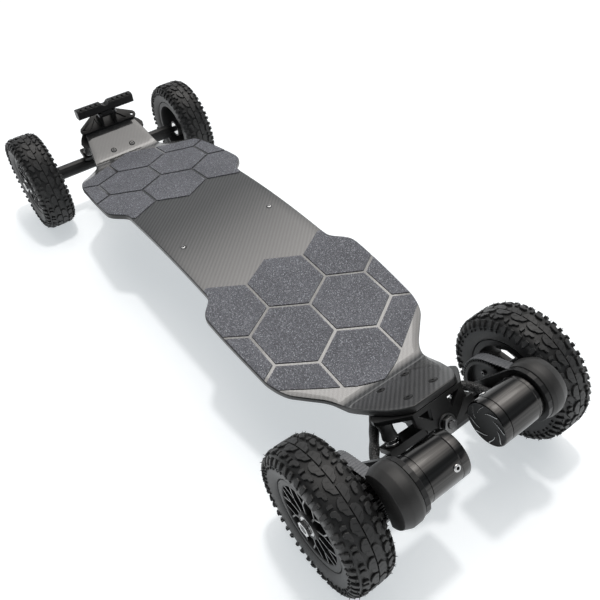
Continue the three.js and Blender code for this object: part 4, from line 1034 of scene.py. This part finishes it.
BUTTON_FACE = (88.0, -85.5, 130.6)
bm = bmesh.new()
cap = [(0, 0.7), (4.6, 0.5), (5.0, 0.1), (5.3, 0), (6.4, 0), (6.8, 0.4), (6.8, 6), (9.6, 6), (9.8, 6.2), (9.8, 8.2),
       (9.6, 8.4), (0, 8.4)]
lathe(bm, cap, 48, frame_at(BUTTON_FACE, (0, 1, 0)))
finish_object("power_button_cap", bm, [STEEL], "power_button", 35, ("power_button",))

# The CAD's own pieces that stay

LOOKS = {
    "enclosure_tray": SHELL, "battery_pack": CELLS, "motor_controller": BOARD, "charge_port": SHELL,
    "lamp_lens": LENS, "lamp_tilt_bolt": STEEL,
}
# By a word in the name, where no look is given above; the rest is black
WORDS = {"king_bolt": DARK_STEEL, "king_nut": NUT_STEEL, "axle_nut": STEEL, "bearing": STEEL, "motor_pulley": DARK_STEEL}
for name, obj in nodes.items():
    if obj.hide_render:
        continue
    look = LOOKS.get(name) or next((one for word, one in WORDS.items() if word in name), BLACK)
    obj.data.materials.clear()
    obj.data.materials.append(look)
    weld = obj.modifiers.new("weld", "WELD")
    weld.merge_threshold = 2e-5
    bevel = obj.modifiers.new("bevel", "BEVEL")
    bevel.width, bevel.segments, bevel.limit_method, bevel.angle_limit = 0.0005, 2, "ANGLE", math.radians(40)
    bevel.harden_normals = False

# Floor, light and background

LIGHT_WAY = Vector((0.25, -0.35, 0.9)).normalized()
KEY_WAY = Vector((0.03, -0.15, 1.0)).normalized()
world = bpy.data.worlds.new("studio")
bpy.context.scene.world = world
world.use_nodes = True
sky = Nodes(world.node_tree)
toward = sky.node("VectorMath", operation="DOT_PRODUCT")
toward.inputs[1].default_value = LIGHT_WAY
sky.link(sky.node("TexCoord").outputs["Generated"], toward.inputs[0])
angle = sky.math("DIVIDE", sky.math("ARCCOSINE", toward.outputs["Value"]), math.pi / 2)
# Degrees from the light's middle, value and warmth
shades = [(9, 1.0, 0.03), (10.5, 0.62, 0.03), (20, 0.52, 0.03), (28, 0.34, 0.02), (35, 0.17, 0.0),
          (41, 0.085, -0.03), (52, 0.055, -0.06), (90, 0.05, -0.06)]
glow = sky.ramp(angle, *((degrees / 90, grey(value, warm)) for degrees, value, warm in shades))
background = sky.tree.nodes["Background"]
sky.link(glow, background.inputs["Color"])
background.inputs["Strength"].default_value = 3.7
backdrop = sky.node("Background")
backdrop.inputs["Color"].default_value = (0.98, 0.99, 1.0, 1)
height = sky.node("SeparateXYZ")
sky.link(sky.node("TexCoord").outputs["Generated"], height.inputs[0])
blend = sky.node("MixShader")
sky.link(sky.math("MULTIPLY", sky.span(height.outputs[2], 1.0, 0.0, 0.16, 0.3), sky.seen()), blend.inputs[0])
sky.link(background.outputs[0], blend.inputs[1])
sky.link(backdrop.outputs[0], blend.inputs[2])
sky.link(blend.outputs[0], sky.tree.nodes["World Output"].inputs["Surface"])

floor_mesh = bpy.data.meshes.new("floor")
FLOOR = 12
corners = [(-FLOOR, -FLOOR, 0), (FLOOR, -FLOOR, 0), (FLOOR, FLOOR, 0), (-FLOOR, FLOOR, 0)]
floor_mesh.from_pydata(corners, [], [(0, 1, 2, 3)])
floor = bpy.data.objects.new("floor", floor_mesh)
bpy.context.scene.collection.objects.link(floor)
look = Look("floor_white", (0.6, 0.6, 0.6), 0.9)
glow = look.node("Emission")
glow.inputs["Color"].default_value = (0.92, 0.97, 1.0, 1)
look.link(look.math("MULTIPLY", look.seen(), 0.55), glow.inputs["Strength"])
both = look.node("AddShader")
look.link(look.bsdf.outputs[0], both.inputs[0])
look.link(glow.outputs[0], both.inputs[1])
look.link(both.outputs[0], look.tree.nodes["Material Output"].inputs["Surface"])
floor_mesh.materials.append(look.mat)

# A small high lamp gives the crisp shadow; it doesn't show in gloss
KEY_FAR = 4
key_data = bpy.data.lights.new("key", "AREA")
key_data.shape, key_data.size, key_data.energy = "DISK", 0.34, 66
key = bpy.data.objects.new("key", key_data)
key.location = KEY_WAY * KEY_FAR
key.rotation_euler = (-KEY_WAY).to_track_quat("-Z", "Y").to_euler()
key.visible_glossy = False
bpy.context.scene.collection.objects.link(key)

bpy.context.scene.view_settings.view_transform = "Standard"
